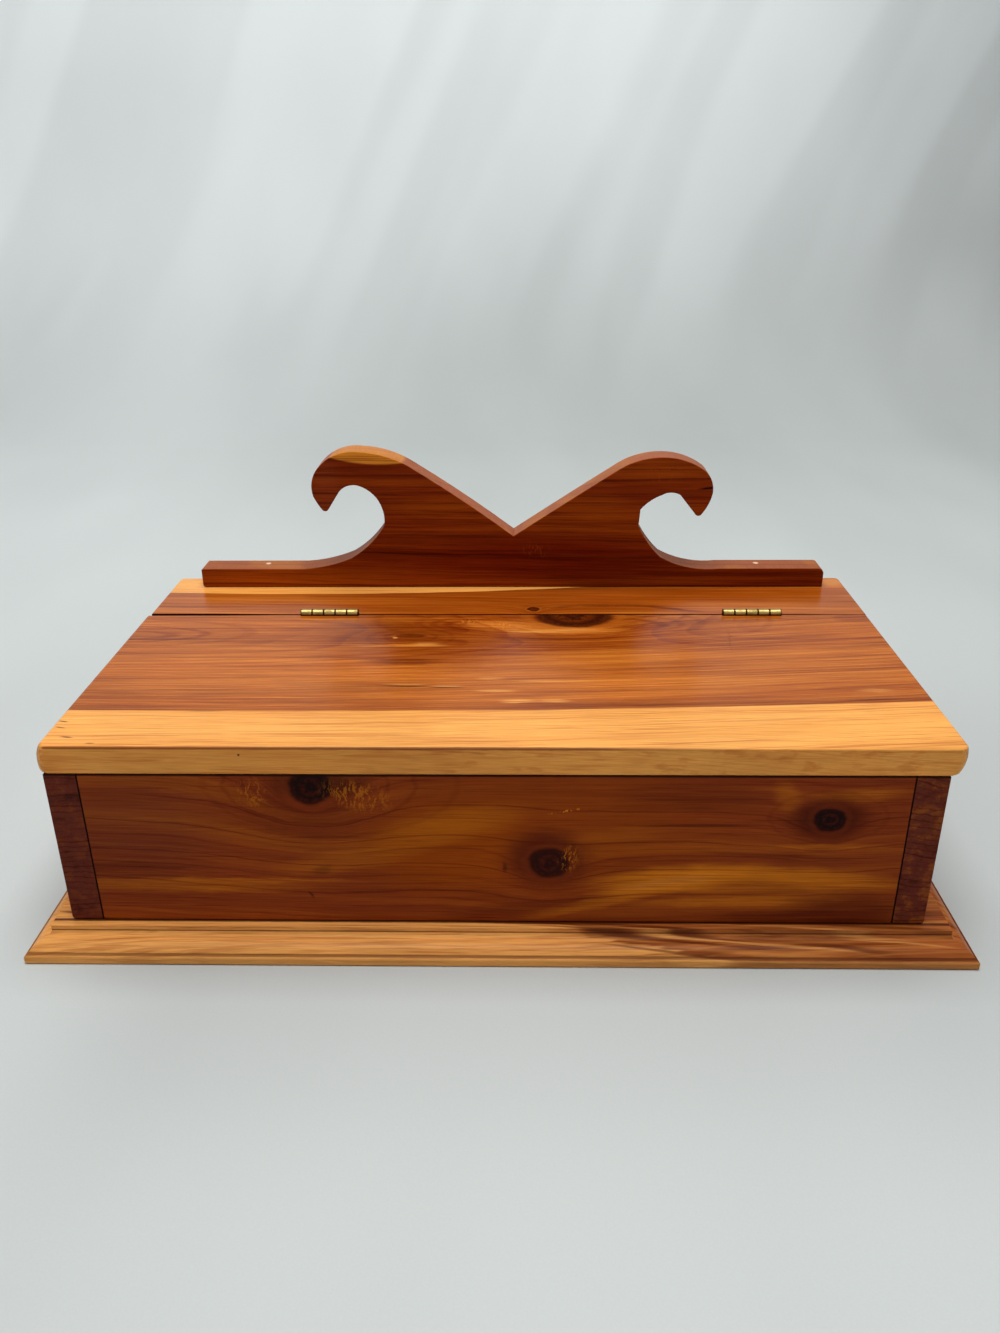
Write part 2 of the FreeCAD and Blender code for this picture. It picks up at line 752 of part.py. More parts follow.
def hinge_leaf(label, x, back_half):
    """One leaf, hanging in the joint from its knuckles. Its origin is the barrel's end."""
    sign = 1 if back_half else -1
    kept = [k for k in range(KNUCKLES) if k % 2 == (0 if back_half else 1)]
    body = new_body(label, x, HINGE_Y, HINGE_Z)
    bore = "(Sizes.pin_radius + Sizes.pin_clearance)"
    barrel = new_sketch(body, "BarrelRing", "right")
    draw_circles(barrel, [("0", "0")], "(2 * Sizes.knuckle_radius)")
    pad(body, barrel, "right", "Sizes.hinge_length", "Barrel")
    near_face = f"{sign} * Sizes.joint_gap / 2"
    far_face = f"{sign} * (Sizes.joint_gap / 2 + Sizes.leaf_thickness)"
    plate = new_sketch(body, "PlateSection", "right")
    draw_rectangle(plate, near_face, far_face, "-Sizes.leaf_reach", f"-{bore}")
    pad(body, plate, "right", "Sizes.hinge_length", "Plate")
    hole = new_sketch(body, "PinBore", "right")
    draw_circles(hole, [("0", "0")], f"(2 * {bore})")
    cut(body, hole, "right", "Sizes.hinge_length", "PinHole")
    reach = "(Sizes.knuckle_radius + Sizes.barrel_relief)"
    slots = new_sketch(body, "KnuckleSlots", "back", f"-{reach}")
    for start, stop in knuckle_slots(kept):
        draw_rectangle(slots, start, stop, f"-{reach}", reach)
    cut(body, slots, "back", f"2 * {reach}", "Slots")
    inset = "((Sizes.hinge_length - Sizes.hinge_screw_spacing) / 2)"
    drill(
        body, "ScrewHoles", "back" if back_half else "front", near_face,
        [
            (inset, f"-{HINGE_SCREW_DROP}"),
            (f"{inset} + Sizes.hinge_screw_spacing", f"-{HINGE_SCREW_DROP}"),
        ],
        HINGE_SCREW_HOLE, "Sizes.leaf_thickness + Sizes.overrun",
        HINGE_SCREW_HEAD_HOLE,
    )


def hinge_pin(label, x):
    pin = doc.addObject("Part::Cylinder", label)
    pin.Label = label
    pin.setExpression("Radius", "Sizes.pin_radius")
    pin.setExpression("Height", "Sizes.hinge_length")
    pin.Placement = Placement(Vector(0, 0, 0), Rotation(Vector(0, 1, 0), 90))
    pin.setExpression("Placement.Base.x", x)
    pin.setExpression("Placement.Base.y", HINGE_Y)
    pin.setExpression("Placement.Base.z", HINGE_Z)
    pieces.append(pin)


# Nails and screws

def turned(label, x, y, z, profile, rotation, patterns):
    """Fasteners turned from a half profile (radius, depth), repeated in rows.

    The first one points along the body's own +Z, from its head at the origin. A pattern
    is (direction, spacing, count).
    """
    body = new_body(label, x, y, z)
    body.Placement = Placement(Vector(0, 0, 0), rotation)
    body.setExpression("Placement.Base.x", x)
    body.setExpression("Placement.Base.y", y)
    body.setExpression("Placement.Base.z", z)
    sketch = new_sketch(body, "HalfProfile", "back")
    draw_outline(sketch, profile)
    feature = body.newObject("PartDesign::Revolution", "Turning")
    feature.Profile = sketch
    feature.ReferenceAxis = (sketch, ["V_Axis"])
    feature.Angle = 360
    doc.recompute()
    rows = body.newObject("PartDesign::MultiTransform", "Rows")
    rows.Originals = [feature]
    lines = []
    for index, (role, spacing, count) in enumerate(patterns):
        line = body.newObject("PartDesign::LinearPattern", f"Row{index}")
        line.Direction = (origin_feature(body, role), [""])
        line.setExpression("Length", f"{count - 1} * ({spacing})")
        line.Occurrences = count
        lines.append(line)
    rows.Transformations = lines
    body.Tip = rows
    doc.recompute()
    return body


def fastener_profile(head, shank, length):
    """Half of a countersunk head, whose sides slope at 45 degrees, and a plain shank."""
    return [
        ("0", "0"), (head, "0"), (shank, f"{head} - {shank}"),
        (shank, length), ("0", length),
    ]


HINGE_SCREW = fastener_profile(
    "Sizes.hinge_screw_head_radius", "Sizes.hinge_screw_radius",
    "Sizes.hinge_screw_length",
)
BASE_SCREW = fastener_profile(
    "Sizes.base_screw_head_radius", "Sizes.base_screw_radius",
    "Sizes.base_screw_length",
)
NAIL = fastener_profile(
    "Sizes.nail_head_radius", "Sizes.nail_radius", "Sizes.nail_length"
)
# Turns that point a fastener, which is made pointing up, along another direction
TO_BACK = Rotation(Vector(1, 0, 0), -90)
TO_FRONT = Rotation(Vector(1, 0, 0), 90)
TO_RIGHT = Rotation(Vector(0, 1, 0), 90)
TO_LEFT = Rotation(Vector(0, 1, 0), -90)
UPRIGHT = Rotation()
HEAD_UP = Rotation(Vector(1, 0, 0), 180)


def hinge_screws(side, x):
    first = f"{x} + (Sizes.hinge_length - Sizes.hinge_screw_spacing) / 2"
    z = f"{HINGE_Z} - {HINGE_SCREW_DROP}"
    row = [("X_Axis", "Sizes.hinge_screw_spacing", 2)]
    for half, sign, turn in (("fixed", "+", TO_BACK), ("lid", "-", TO_FRONT)):
        turned(
            f"hinge_{side}_{half}_screws", first, f"{HINGE_Y} {sign} Sizes.joint_gap / 2",
            z, HINGE_SCREW, turn, row,
        )


def side_nails(side):
    left = side == "left"
    apart = f"{1 - 2 * SIDE_NAIL_SHARE} * Sizes.wall_height"
    turned(
        f"side_nails_{side}", BOX_LEFT if left else BOX_RIGHT,
        f"{BOX_FRONT} + {HALF_THICKNESS}",
        "Sizes.base_thickness + "
        f"{1 - SIDE_NAIL_SHARE if left else SIDE_NAIL_SHARE} * Sizes.wall_height",
        NAIL, TO_RIGHT if left else TO_LEFT,
        [
            ("Y_Axis", "Sizes.box_depth - Sizes.board_thickness", 2),
            ("X_Axis", apart, 2),
        ],
    )


base_plate()
walls()
lid()
rear_strip()
scroll_board()
for side, hinge_x in HINGES.items():
    hinge_leaf(f"hinge_{side}_fixed_leaf", hinge_x, True)
    hinge_leaf(f"hinge_{side}_lid_leaf", hinge_x, False)
    hinge_pin(f"hinge_{side}_pin", hinge_x)
    hinge_screws(side, hinge_x)
    side_nails(side)
turned(
    "base_screws", base_screw_columns("Sizes.box_shift")[0],
    f"{BOX_FRONT} + {HALF_THICKNESS}", "0", BASE_SCREW, UPRIGHT,
    [
        ("X_Axis", BASE_SCREW_SPACING, BASE_SCREWS_IN_A_ROW),
        ("Y_Axis", "Sizes.box_depth - Sizes.board_thickness", 2),
    ],
)
turned(
    "scroll_board_nails", scroll_nail_columns("0")[0],
    f"{BOX_BACK} - {SCROLL_NAIL_FROM_BACK}", f"{LID_TOP} + Sizes.scroll_end_height",
    NAIL, HEAD_UP, [("X_Axis", f"{SCROLL_WIDTH} - 2 * Sizes.scroll_nail_inset", 2)],
)

doc.recompute()
for item in doc.Objects:
    if "Invalid" in item.State or "Error" in item.State:
        raise RuntimeError(f"{item.Label}: {item.State}")
for piece in pieces:
    if piece.Shape.isNull() or not piece.Shape.isValid():
        raise RuntimeError(f"{piece.Label}: no valid shape")

os.makedirs("parts", exist_ok=True)
for piece in pieces:
    piece.Shape.exportStep(f"parts/{piece.Label}.step")
    box = piece.Shape.BoundBox
    print(
        f"{piece.Label:26s} {len(piece.Shape.Solids)} solids, {piece.Shape.Volume:10.1f} mm3,"
        f" x {box.XMin:.1f} {box.XMax:.1f}, y {box.YMin:.1f} {box.YMax:.1f},"
        f" z {box.ZMin:.1f} {box.ZMax:.1f}"
    )
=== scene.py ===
import json
import math
from collections import namedtuple

import bmesh
import bpy
from mathutils import Matrix, Vector


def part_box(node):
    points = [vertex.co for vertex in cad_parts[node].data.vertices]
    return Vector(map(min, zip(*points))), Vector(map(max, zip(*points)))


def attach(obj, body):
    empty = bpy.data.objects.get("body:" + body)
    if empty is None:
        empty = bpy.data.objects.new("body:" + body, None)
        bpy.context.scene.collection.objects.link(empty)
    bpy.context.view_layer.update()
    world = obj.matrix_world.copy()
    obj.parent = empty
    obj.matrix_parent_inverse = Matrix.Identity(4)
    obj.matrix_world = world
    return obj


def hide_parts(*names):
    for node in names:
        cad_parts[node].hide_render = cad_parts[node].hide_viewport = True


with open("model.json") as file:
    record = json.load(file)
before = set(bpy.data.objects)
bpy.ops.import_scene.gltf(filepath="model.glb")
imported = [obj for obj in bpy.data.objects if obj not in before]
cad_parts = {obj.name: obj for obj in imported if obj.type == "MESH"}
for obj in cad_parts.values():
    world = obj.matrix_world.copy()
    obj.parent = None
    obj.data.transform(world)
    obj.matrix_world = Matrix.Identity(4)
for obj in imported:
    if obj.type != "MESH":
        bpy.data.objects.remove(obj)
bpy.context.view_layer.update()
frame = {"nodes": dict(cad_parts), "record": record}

bl_info = {
    "name": "Wooden Desk Box",
    "version": (1, 0, 0),
    "blender": (4, 5, 0),
    "location": "3D View > Sidebar > Desk Box",
    "description": "Cedar boards, brass hinges, fasteners and stage of a wooden desk box",
    "category": "Object",
}

MM = 0.001

# Both hinges, and the knuckles on each one's pin
LEFT_RIGHT = ("left", "right")
KNUCKLES = 5

# Angles in degrees, past which a board's or leaf's edge is eased, and past which it looks sharp
EASED_FROM = 38
SHARP_FROM = 32

# Light from all round, and the colour of the painted glow on the hanging cloth
DAYLIGHT = (0.95, 0.98, 1.0)
PAINTED_CLOTH_GLOW = (0.93, 0.98, 1.0)

# Fasteners: radii of head and shank, length, and the slot in a screw's head
HINGE_SCREW = {
    "head": 2.25 * MM, "shank": 1.15 * MM, "length": 12.7 * MM,
    "slot_width": 0.5 * MM, "slot_depth": 0.6 * MM,
}
BASE_SCREW = {
    "head": 3.4 * MM, "shank": 1.75 * MM, "length": 38.1 * MM,
    "slot_width": 0.8 * MM, "slot_depth": 1.0 * MM,
}
NAIL = {"head": 1.5 * MM, "shank": 0.9 * MM, "length": 38.1 * MM}


# Sizes and colours that a user would change


def screen(red, green, blue):
    """Linear values of a colour given as it looks on a screen, each from 0 to 255."""
    return tuple(
        share / 12.92 if share <= 0.04045 else ((share + 0.055) / 1.055) ** 2.4
        for share in (red / 255, green / 255, blue / 255)
    )


def tone(name, description, *shown):
    """A colour that a user can change, given as it looks on a screen."""
    return bpy.props.FloatVectorProperty(
        name=name, description=description, default=screen(*shown),
        subtype="COLOR", size=3, min=0.0, max=1.0,
    )


WOOD_TONES = {
    "heart": ("Heartwood", "Main colour of the wood"),
    "amber": ("Amber", "Deeper colour of the wood near the middle"),
    "glow": ("Light streaks", "Colour of the lighter bands of the heartwood"),
    "deep": ("Dark streaks", "Colour of the darker bands of the heartwood"),
    "sap": ("Sapwood", "Colour of the pale outer wood"),
    "line": ("Latewood", "Shade that a year's dark line multiplies the wood by"),
    "knot": ("Knots", "Colour of a knot's heart"),
    "end": ("Cut wood", "Colour of the cut ends and sawn edges"),
    # This colour also serves as painted shade: under the lid, in the lid's joint, in the base's
    # grooves and at the scroll board's foot
    "grime": ("Grime", "Colour of the dirt in joints and cracks"),
}


def wood_tone(part, *shown):
    """A colour of a wood's part that a user can change."""
    return tone(*WOOD_TONES[part], *shown)


def size(name, description, millimetres):
    """A length that a user can change."""
    return bpy.props.FloatProperty(
        name=name, description=description, default=millimetres * MM,
        subtype="DISTANCE", unit="LENGTH", min=0.0, precision=5,
    )


class DeskBoxLidTones(bpy.types.PropertyGroup):
    """Colours of the lid and of the strip behind it"""

    heart: wood_tone("heart", 182, 94, 24)
    amber: wood_tone("amber", 150, 66, 6)
    glow: wood_tone("glow", 222, 132, 46)
    deep: wood_tone("deep", 112, 44, 4)
    sap: wood_tone("sap", 255, 181, 90)
    line: wood_tone("line", 190, 124, 80)
    knot: wood_tone("knot", 56, 18, 4)
    end: wood_tone("end", 190, 112, 50)
    grime: wood_tone("grime", 44, 8, 4)


class DeskBoxWallTones(bpy.types.PropertyGroup):
    """Colours of the walls"""

    heart: wood_tone("heart", 148, 62, 22)
    amber: wood_tone("amber", 160, 70, 2)
    glow: wood_tone("glow", 222, 126, 24)
    deep: wood_tone("deep", 98, 30, 8)
    sap: wood_tone("sap", 240, 170, 96)
    line: wood_tone("line", 168, 104, 80)
    knot: wood_tone("knot", 34, 12, 10)
    end: wood_tone("end", 96, 42, 34)
    grime: wood_tone("grime", 22, 6, 6)


class DeskBoxScrollTones(bpy.types.PropertyGroup):
    """Colours of the scroll board"""

    heart: wood_tone("heart", 140, 52, 8)
    amber: wood_tone("amber", 124, 32, 2)
    glow: wood_tone("glow", 176, 86, 12)
    deep: wood_tone("deep", 104, 28, 2)
    sap: wood_tone("sap", 232, 154, 52)
    line: wood_tone("line", 150, 90, 60)
    knot: wood_tone("knot", 40, 14, 8)
    end: wood_tone("end", 162, 90, 54)
    grime: wood_tone("grime", 34, 8, 2)
    filler: tone("Filler", "Colour of the filler round the nails", 250, 206, 172)


class DeskBoxBaseTones(bpy.types.PropertyGroup):
    """Colours of the base board"""

    heart: wood_tone("heart", 172, 92, 42)
    amber: wood_tone("amber", 196, 120, 50)
    glow: wood_tone("glow", 218, 140, 68)
    deep: wood_tone("deep", 104, 46, 16)
    sap: wood_tone("sap", 246, 172, 92)
    line: wood_tone("line", 170, 118, 86)
    knot: wood_tone("knot", 66, 30, 14)
    end: wood_tone("end", 170, 102, 60)
    grime: wood_tone("grime", 70, 26, 8)


class DeskBoxMetalTones(bpy.types.PropertyGroup):
    """Colours of the hinges, screws and nails"""

    brass: tone("Brass", "Colour of the clean brass", 182, 156, 98)
    tarnish: tone("Tarnish", "Colour of the brass where it has dulled", 108, 98, 44)
    # This colour also paints the shade in the knuckles' gaps and on the barrel's lower part
    grime: tone("Grime", "Colour of the dirt between the knuckles", 26, 18, 6)
    steel: tone("Steel", "Colour of the screws under the base and the nails", 176, 170, 162)
    rust: tone("Rust", "Colour of the stains on the steel", 110, 74, 52)
    nail_head: tone("Filled nail", "Colour of the nail heads on the scroll board", 246, 200, 168)


class DeskBoxWear(bpy.types.PropertyGroup):
    """Sizes of the roundings and the wear"""

    arris: size("Eased edge", "Width of the rounding that sanding gives a board's edges", 0.6)
    joint: size("Joint edge", "Width of the rounding on the lid's and the strip's edges", 0.35)
    knuckle: size("Knuckle edge", "Width of the rounding on the hinge knuckles", 0.45)
    end_fall: size("End rounding", "How far the lid's ends are rounded over", 2.6)
    joint_wear: size("Joint wear", "How far each side of the lid's joint is worn at its left end", 1.0)
    joint_close: size("Joint closing", "How much nearer each side of the joint is at the right", 0.5)
    shortest: size("Shortest edge", "Edges that run on for less than this stay sharp", 20.0)
    pores: size("Grain relief", "Height of the grain's ridges on a finished face", 0.09)


class DeskBoxStage(bpy.types.PropertyGroup):
    """The floor, the lights and the camera"""

    floor: tone("Floor", "Colour of the cloth that the box stands on", 208, 213, 211)
    sky: bpy.props.FloatProperty(
        name="Surrounding light", description="Brightness of the light from all round",
        default=0.22, min=0.0, max=2.0,
    )
    lamp: bpy.props.FloatProperty(
        name="Overhead light", description="Power of the large light overhead",
        default=47.0, unit="POWER", min=0.0,
    )
    camera_place: bpy.props.FloatVectorProperty(
        name="Camera place", description="Where the camera stands",
        default=(0.0134, -0.59455, 0.3866), subtype="XYZ", unit="LENGTH", precision=5,
    )
    camera_down: bpy.props.FloatProperty(
        name="Camera down", description="How far the camera looks down",
        default=math.radians(24.46), subtype="ANGLE",
    )
    camera_roll: bpy.props.FloatProperty(
        name="Camera roll", description="How far the camera leans",
        default=math.radians(-0.51), subtype="ANGLE",
    )
    camera_turn: bpy.props.FloatProperty(
        name="Camera turn", description="How far the camera looks to the side",
        default=math.radians(-1.33), subtype="ANGLE",
    )
    camera_lens: bpy.props.FloatProperty(
        name="Camera lens", description="Focal length of the camera in millimetres",
        default=28.965, min=1.0,
    )


# Boards: how each one was cut from its log, in millimetres along the grain, across it
# and through the board


# Stains narrower than this lie over the years' dark lines and waver less
THIN = 2.5

# Faces that the darkened joints and edges lie on, with dirt and painted shade, and the middle of the
# scroll board
BASE_FRONT, BASE_TOP = -135.75, 16.3
BOX_FRONT, BOX_TOP = -118.25, 108.4
LEFT_OUTSIDE, LEFT_JOINT = -234.8, -217.4
RIGHT_JOINT, RIGHT_OUTSIDE = 213.8, 231.2
STRIP_FRONT, LID_REAR = 65.35, 63.55
STRIP_TOP, SCROLL_END_TOP, SCROLL_MIDDLE = 124.5, 138.1, 128.75

Knot = namedtuple("Knot", "along across radius stretch rise core halo")
Stain = namedtuple("Stain", "along across length width turn colour strength")
Arc = namedtuple("Arc", "along across length width line strength")
Seam = namedtuple("Seam", "along across through reach strength colour until", defaults=(None,))
Board = namedtuple(
    "Board",
    "order pith spacing taper sway ripple lean late lines streaks flat_sawn sheen "
    "sap sap_side sap_rough figure joint knots arcs stains seams",
    defaults=((), (), (), ()),
)

LID = Board(
    order="XYZ", pith=(38, -20), spacing=1.4, taper=0.006, sway=6, ripple=2.0,
    lean=(0.05, 0.0001), late=0.5, lines=0.5, streaks=(0.5, 0.5), flat_sawn=True,
    sheen=(0.16, 0.26), sap=((-236, -75.6), (1, -75.5), (240, -63.5)), sap_side=-1,
    sap_rough=3.0, figure=0.3, joint=LID_REAR,
    knots=(
        Knot(47, 62, 18.5, 1.25, 12, 1.0, 0.15),
        Knot(-57.6, 28.2, 3.4, 2.6, 4, 0.3, 0.4),
    ),
    arcs=(
        Arc(-264, 31, 76, 14, 1.2, 0.6),
        Arc(-264, 29, 55, 8, 1.2, 0.6),
        Arc(-264, 33, 104, 24, 1.6, 0.3),
        Arc(34, 46, 70, 14, 1.0, 0.6),
        Arc(38, 47, 64, 11, 0.8, 0.45),
        Arc(36, 48, 80, 19, 1.0, 0.45),
        Arc(38, 50, 92, 26, 1.4, 0.35),
        Arc(46, 56, 128, 44, 1.6, 0.25),
        Arc(-57, 26, 16, 8, 1.0, 0.4),
        Arc(-57, 25, 27, 14, 1.2, 0.3),
    ),
    stains=(
        # The wide amber stain and the deep stain beside it are deeper wood and also stand for the
        # scroll board's dark reflection in the lid's middle: partly painted reflection
        Stain(-8, 32, 160, 62, 0, "amber", 0.9),
        Stain(-72, 34, 66, 38, 0, "deep", 0.55),
        Stain(100, 34, 60, 34, 0, "amber", 0.5),
        Stain(-58, -11, 34, 7, 0, "deep", 0.8),
        Stain(-62, 12.5, 44, 3.0, 1, "glow", 1.0),
        Stain(-46, 14.5, 15, 4.0, 0, "sap", 0.4),
        Stain(-55, 9.8, 60, 1.4, 0, "deep", 0.8),
        Stain(6, 44, 44, 12, -6, "glow", 0.8),
        Stain(40, 36, 54, 9, 2, "glow", 1.0),
        Stain(34, 36, 40, 4.0, 3, "sap", 0.55),
        Stain(20, 22, 70, 6, 3, "deep", 0.35),
        Stain(-20, -42, 250, 26, 0, "glow", 0.35),
        Stain(60, -8, 90, 22, 5, "glow", 0.4),
        Stain(-160, -8, 90, 10, 0, "glow", 0.4),
        Stain(-160, -42, 90, 12, 0, "glow", 0.55),
        Stain(110, -40, 120, 12, 2, "glow", 0.4),
        Stain(190, -10, 90, 30, 3, "glow", 0.3),
        Stain(12, -64.5, 14, 2.8, 0, "sap", 0.75),
        Stain(31, -64, 13, 2.6, 0, "sap", 0.7),
        Stain(-2, -51, 16, 2.4, 0, "sap", 0.5),
        Stain(-5, -35, 12, 3.6, 0, "sap", 0.3),
        Stain(28, -38, 34, 2.2, 0, "sap", 0.3),
        Stain(-54, -43.2, 17, 1.8, 0, "sap", 0.45),
        Stain(-30, -45.0, 14, 1.8, 0, "sap", 0.4),
        Stain(-54, -45.2, 19, 1.0, 0, "grime", 0.95),
        Stain(-30, -46.9, 14, 1.0, -1, "grime", 0.9),
        Stain(24, -67.3, 24, 0.9, 0, "deep", 0.8),
        Stain(205, -62, 30, 1.6, 3, "deep", 0.9),
        Stain(210, -50, 14, 4.0, 0, "sap", 0.3),
        Stain(-158, -77.7, 16, 1.0, 0, "grime", 0.45),
        Stain(198, -74, 12, 1.0, 2, "grime", 0.3),
        Stain(-224, -107.5, 5, 1.2, -10, "grime", 0.75),
        Stain(-232, -90, 4, 1.0, -15, "grime", 0.8),
        Stain(-231, -97, 4.5, 0.9, -15, "grime", 0.7),
        Stain(-209, -114, 3.5, 1.0, 0, "grime", 0.6),
        Stain(-66.5, 24.5, 2.2, 1.9, 0, "sap", 1.0),
        Stain(2, 45, 17, 9, -6, "flake", 0.75),
        Stain(-20, 52, 12, 6, -6, "flake", 0.5),
        Stain(142, 22, 1.1, 24, -6, "deep", 0.35),
    ),
    seams=(
        Seam(None, BOX_FRONT, None, 1.0, 0.34, "glow"),
        # A painted highlight along the lid's top front edge, in sapwood colour, and a darker line on
        # that edge which fades out to the right
        Seam(None, -118.1, 124.3, 0.9, 0.5, "sap"),
        Seam(None, -118.1, 124.2, 1.35, 0.85, "deep", 140.0),
        Seam(-131.5, -118.2, 120.2, 0.9, 1.0, "grime"),
    ),
)

STRIP = Board(
    order="XYZ", pith=(52, 106), spacing=5.2, taper=0.02, sway=6, ripple=2.0,
    lean=(0.0, 0.0), late=0.6, lines=0.4, streaks=(0.35, 0.35), flat_sawn=False,
    sheen=(0.18, 0.24), sap=((-236, 106), (-80, 104.2), (30, 113.2)), sap_side=1,
    sap_rough=3.0, figure=0.3, joint=STRIP_FRONT,
    knots=(Knot(20.4, 74.0, 3.6, 1.0, 9, 0.95, 0.35),),
    stains=(
        Stain(10, 88, 190, 60, 0, "amber", 0.8),
        Stain(160, 106, 130, 20, 0, "amber", 0.9),
        Stain(170, 76, 70, 12, -2, "glow", 0.25),
        Stain(232, 128, 14, 16, 0, "sap", 0.35),
        Stain(72, 81, 45, 3.0, 0, "deep", 1.0),
        Stain(40, 78.5, 20, 2.8, 12, "deep", 0.9),
        Stain(112, 75, 28, 3.0, -16, "deep", 0.9),
        Stain(95, 68, 40, 3, 0, "glow", 0.4),
        Stain(-170, 96, 80, 12, 0, "glow", 0.3),
    ),
)

FRONT = Board(
    order="XZY", pith=(-66, -92), spacing=8.5, taper=0.025, sway=14, ripple=3.0,
    lean=(0.0, 0.0), late=0.82, lines=0.55, streaks=(0.1, 0.17), flat_sawn=False,
    sheen=(0.05, 0.4), sap=None, sap_side=1, sap_rough=3.0, figure=0.18, joint=None,
    knots=(
        Knot(-96.3, 101.5, 9.4, 1.1, 34, 1.0, 0.5),
        Knot(27.5, 55.1, 8.4, 1.15, 14, 0.85, 0.62),
        Knot(172.8, 82.6, 6.4, 1.15, 12, 1.0, 0.7),
    ),
    stains=(
        Stain(25, 72, 130, 66, 0, "amber", 0.55),
        Stain(-25, 64, 60, 40, 8, "amber", 0.95),
        Stain(-25, 78, 50, 14, 12, "glow", 0.4),
        Stain(-75, 58, 60, 10, 12, "glow", 0.3),
        Stain(-90, 103, 36, 12, 0, "grime", 0.6),
        Stain(100, 46.5, 62, 10, 5, "glow", 1.0),
        Stain(165, 46, 70, 9, -4, "glow", 0.7),
        Stain(84, 39.5, 42, 6.5, 8, "glow", 1.0),
        Stain(92, 43, 34, 5, 8, "sap", 0.25),
        Stain(130, 42, 100, 12, 0, "glow", 0.5),
        Stain(130, 31, 80, 5, 2, "glow", 0.5),
        Stain(60, 31, 60, 5, 14, "glow", 0.55),
        Stain(-150, 43, 100, 2.6, 0, "glow", 0.4),
        Stain(-170, 39, 90, 6, 0, "glow", 0.4),
        Stain(-190, 76, 60, 50, 0, "end", 0.35),
        Stain(-108, 86, 66, 26, 0, "deep", 0.4),
        Stain(60, 72, 40, 8, 8, "glow", 0.15),
        Stain(150, 96, 9, 14, 30, "glow", 0.3),
        Stain(185, 97, 34, 6, 6, "glow", 0.3),
        Stain(172, 66, 44, 3, 0, "glow", 0.35),
        Stain(-215, 52, 90, 4, -1, "deep", 0.6),
        Stain(105, 96, 60, 14, 0, "deep", 0.45),
        Stain(105, 79, 50, 1.6, 0, "deep", 0.8),
        Stain(15, 26, 60, 7, 8, "deep", 0.5),
        Stain(150, 37, 90, 2.2, 3, "deep", 0.25),
        Stain(160, 20, 74, 8, 0, "deep", 0.8),
        Stain(190, 26, 50, 14, 0, "deep", 0.8),
        Stain(24, 60, 30, 24, 0, "deep", 0.85),
        Stain(27, 56, 24, 18, 0, "grime", 0.3),
        Stain(172, 84, 32, 18, 0, "deep", 0.75),
        Stain(172, 83, 25, 15, 0, "grime", 0.45),
        Stain(150, 60, 60, 2.4, -4, "deep", 0.4),
        Stain(-128, 98, 13, 12, -20, "flake", 0.35),
        Stain(-72, 96, 24, 12, -14, "flake", 0.45),
        Stain(38, 58, 7, 12, -12, "flake", 0.55),
        Stain(36, 87.5, 16, 1.0, 9, "flake", 1.0),
        Stain(-94, 50, 8, 4, 20, "grime", 0.3),
        Stain(-101, 34, 1.5, 4, 30, "grime", 0.6),
        Stain(4, 52, 2.0, 5, 10, "grime", 0.5),
    ),
    arcs=(
        Arc(-92, 103, 50, 24, 1.0, 0.28),
        Arc(-94, 103, 38, 17, 0.8, 0.3),
        Arc(-86, 104, 66, 32, 1.4, 0.15),
        Arc(172, 84, 30, 15, 1.2, 0.18),
    ),
    seams=(
        # Painted shade along the top front edge, under the lid; darker at the foot on the base; dark
        # joints at the ends
        Seam(None, BOX_TOP, BOX_FRONT, 1.2, 0.9, "grime"),
        Seam(None, BASE_TOP, None, 1.3, 0.9, "grime"),
        Seam(LEFT_JOINT, None, None, 0.8, 0.95, "grime"),
        Seam(RIGHT_JOINT, None, None, 0.8, 0.95, "grime"),
    ),
)

BACK = FRONT._replace(
    knots=(Knot(-40, 72, 7.0, 1.2, 22, 0.9, 0.5), Knot(150, 40, 5.0, 1.3, 14, 0.9, 0.5)),
    arcs=(),
    stains=(
        Stain(60, 90, 120, 9, 1, "glow", 0.6),
        Stain(-120, 35, 110, 14, 0, "deep", 0.4),
        Stain(-20, 60, 90, 30, 4, "amber", 0.8),
    ),
    # Painted shade along the top edge, under the lid and the strip; the rest as on the front
    seams=(Seam(None, BOX_TOP, None, 1.0, 0.9, "grime"), *FRONT.seams[1:]),
)

SIDE = FRONT._replace(
    order="YZX", pith=(-60, -226), spacing=3.4, sway=12, figure=0.12, late=0.6, lines=0.9,
    knots=(Knot(20, 80, 6.0, 1.2, 18, 0.9, 0.5),), arcs=(),
    stains=(
        Stain(60, 40, 90, 9, 1, "glow", 0.6),
        Stain(-50, 90, 80, 12, 0, "deep", 0.4),
        Stain(-118, 93, 3, 9, 35, "grime", 0.6),
    ),
    seams=(
        # Painted shade along the top outer and front edges, under the lid; darker at the foot on the
        # base and on the inner face at the joint
        Seam(None, BOX_TOP, LEFT_OUTSIDE, 1.2, 0.9, "grime"),
        Seam(BOX_FRONT, BOX_TOP, None, 1.2, 0.9, "grime"),
        Seam(None, BASE_TOP, None, 1.3, 0.9, "grime"),
        Seam(None, None, LEFT_JOINT, 0.6, 0.95, "grime"),
    ),
)
RIGHT_SIDE = SIDE._replace(
    pith=(190, 240), figure=0.3,
    knots=(Knot(-30, 52, 5.0, 1.2, 16, 0.9, 0.5), Knot(80, 88, 4.0, 1.2, 12, 0.9, 0.5)),
    stains=(Stain(-40, 90, 100, 10, -1, "glow", 0.6), Stain(80, 34, 80, 11, 0, "deep", 0.4)),
    seams=(
        # Painted shade along the top outer and front edges, under the lid; the rest as on the left
        # side
        Seam(None, BOX_TOP, RIGHT_OUTSIDE, 1.2, 0.9, "grime"),
        Seam(BOX_FRONT, BOX_TOP, None, 1.2, 0.9, "grime"),
        Seam(None, BASE_TOP, None, 1.3, 0.9, "grime"),
        Seam(None, None, RIGHT_JOINT, 0.6, 0.95, "grime"),
    ),
)

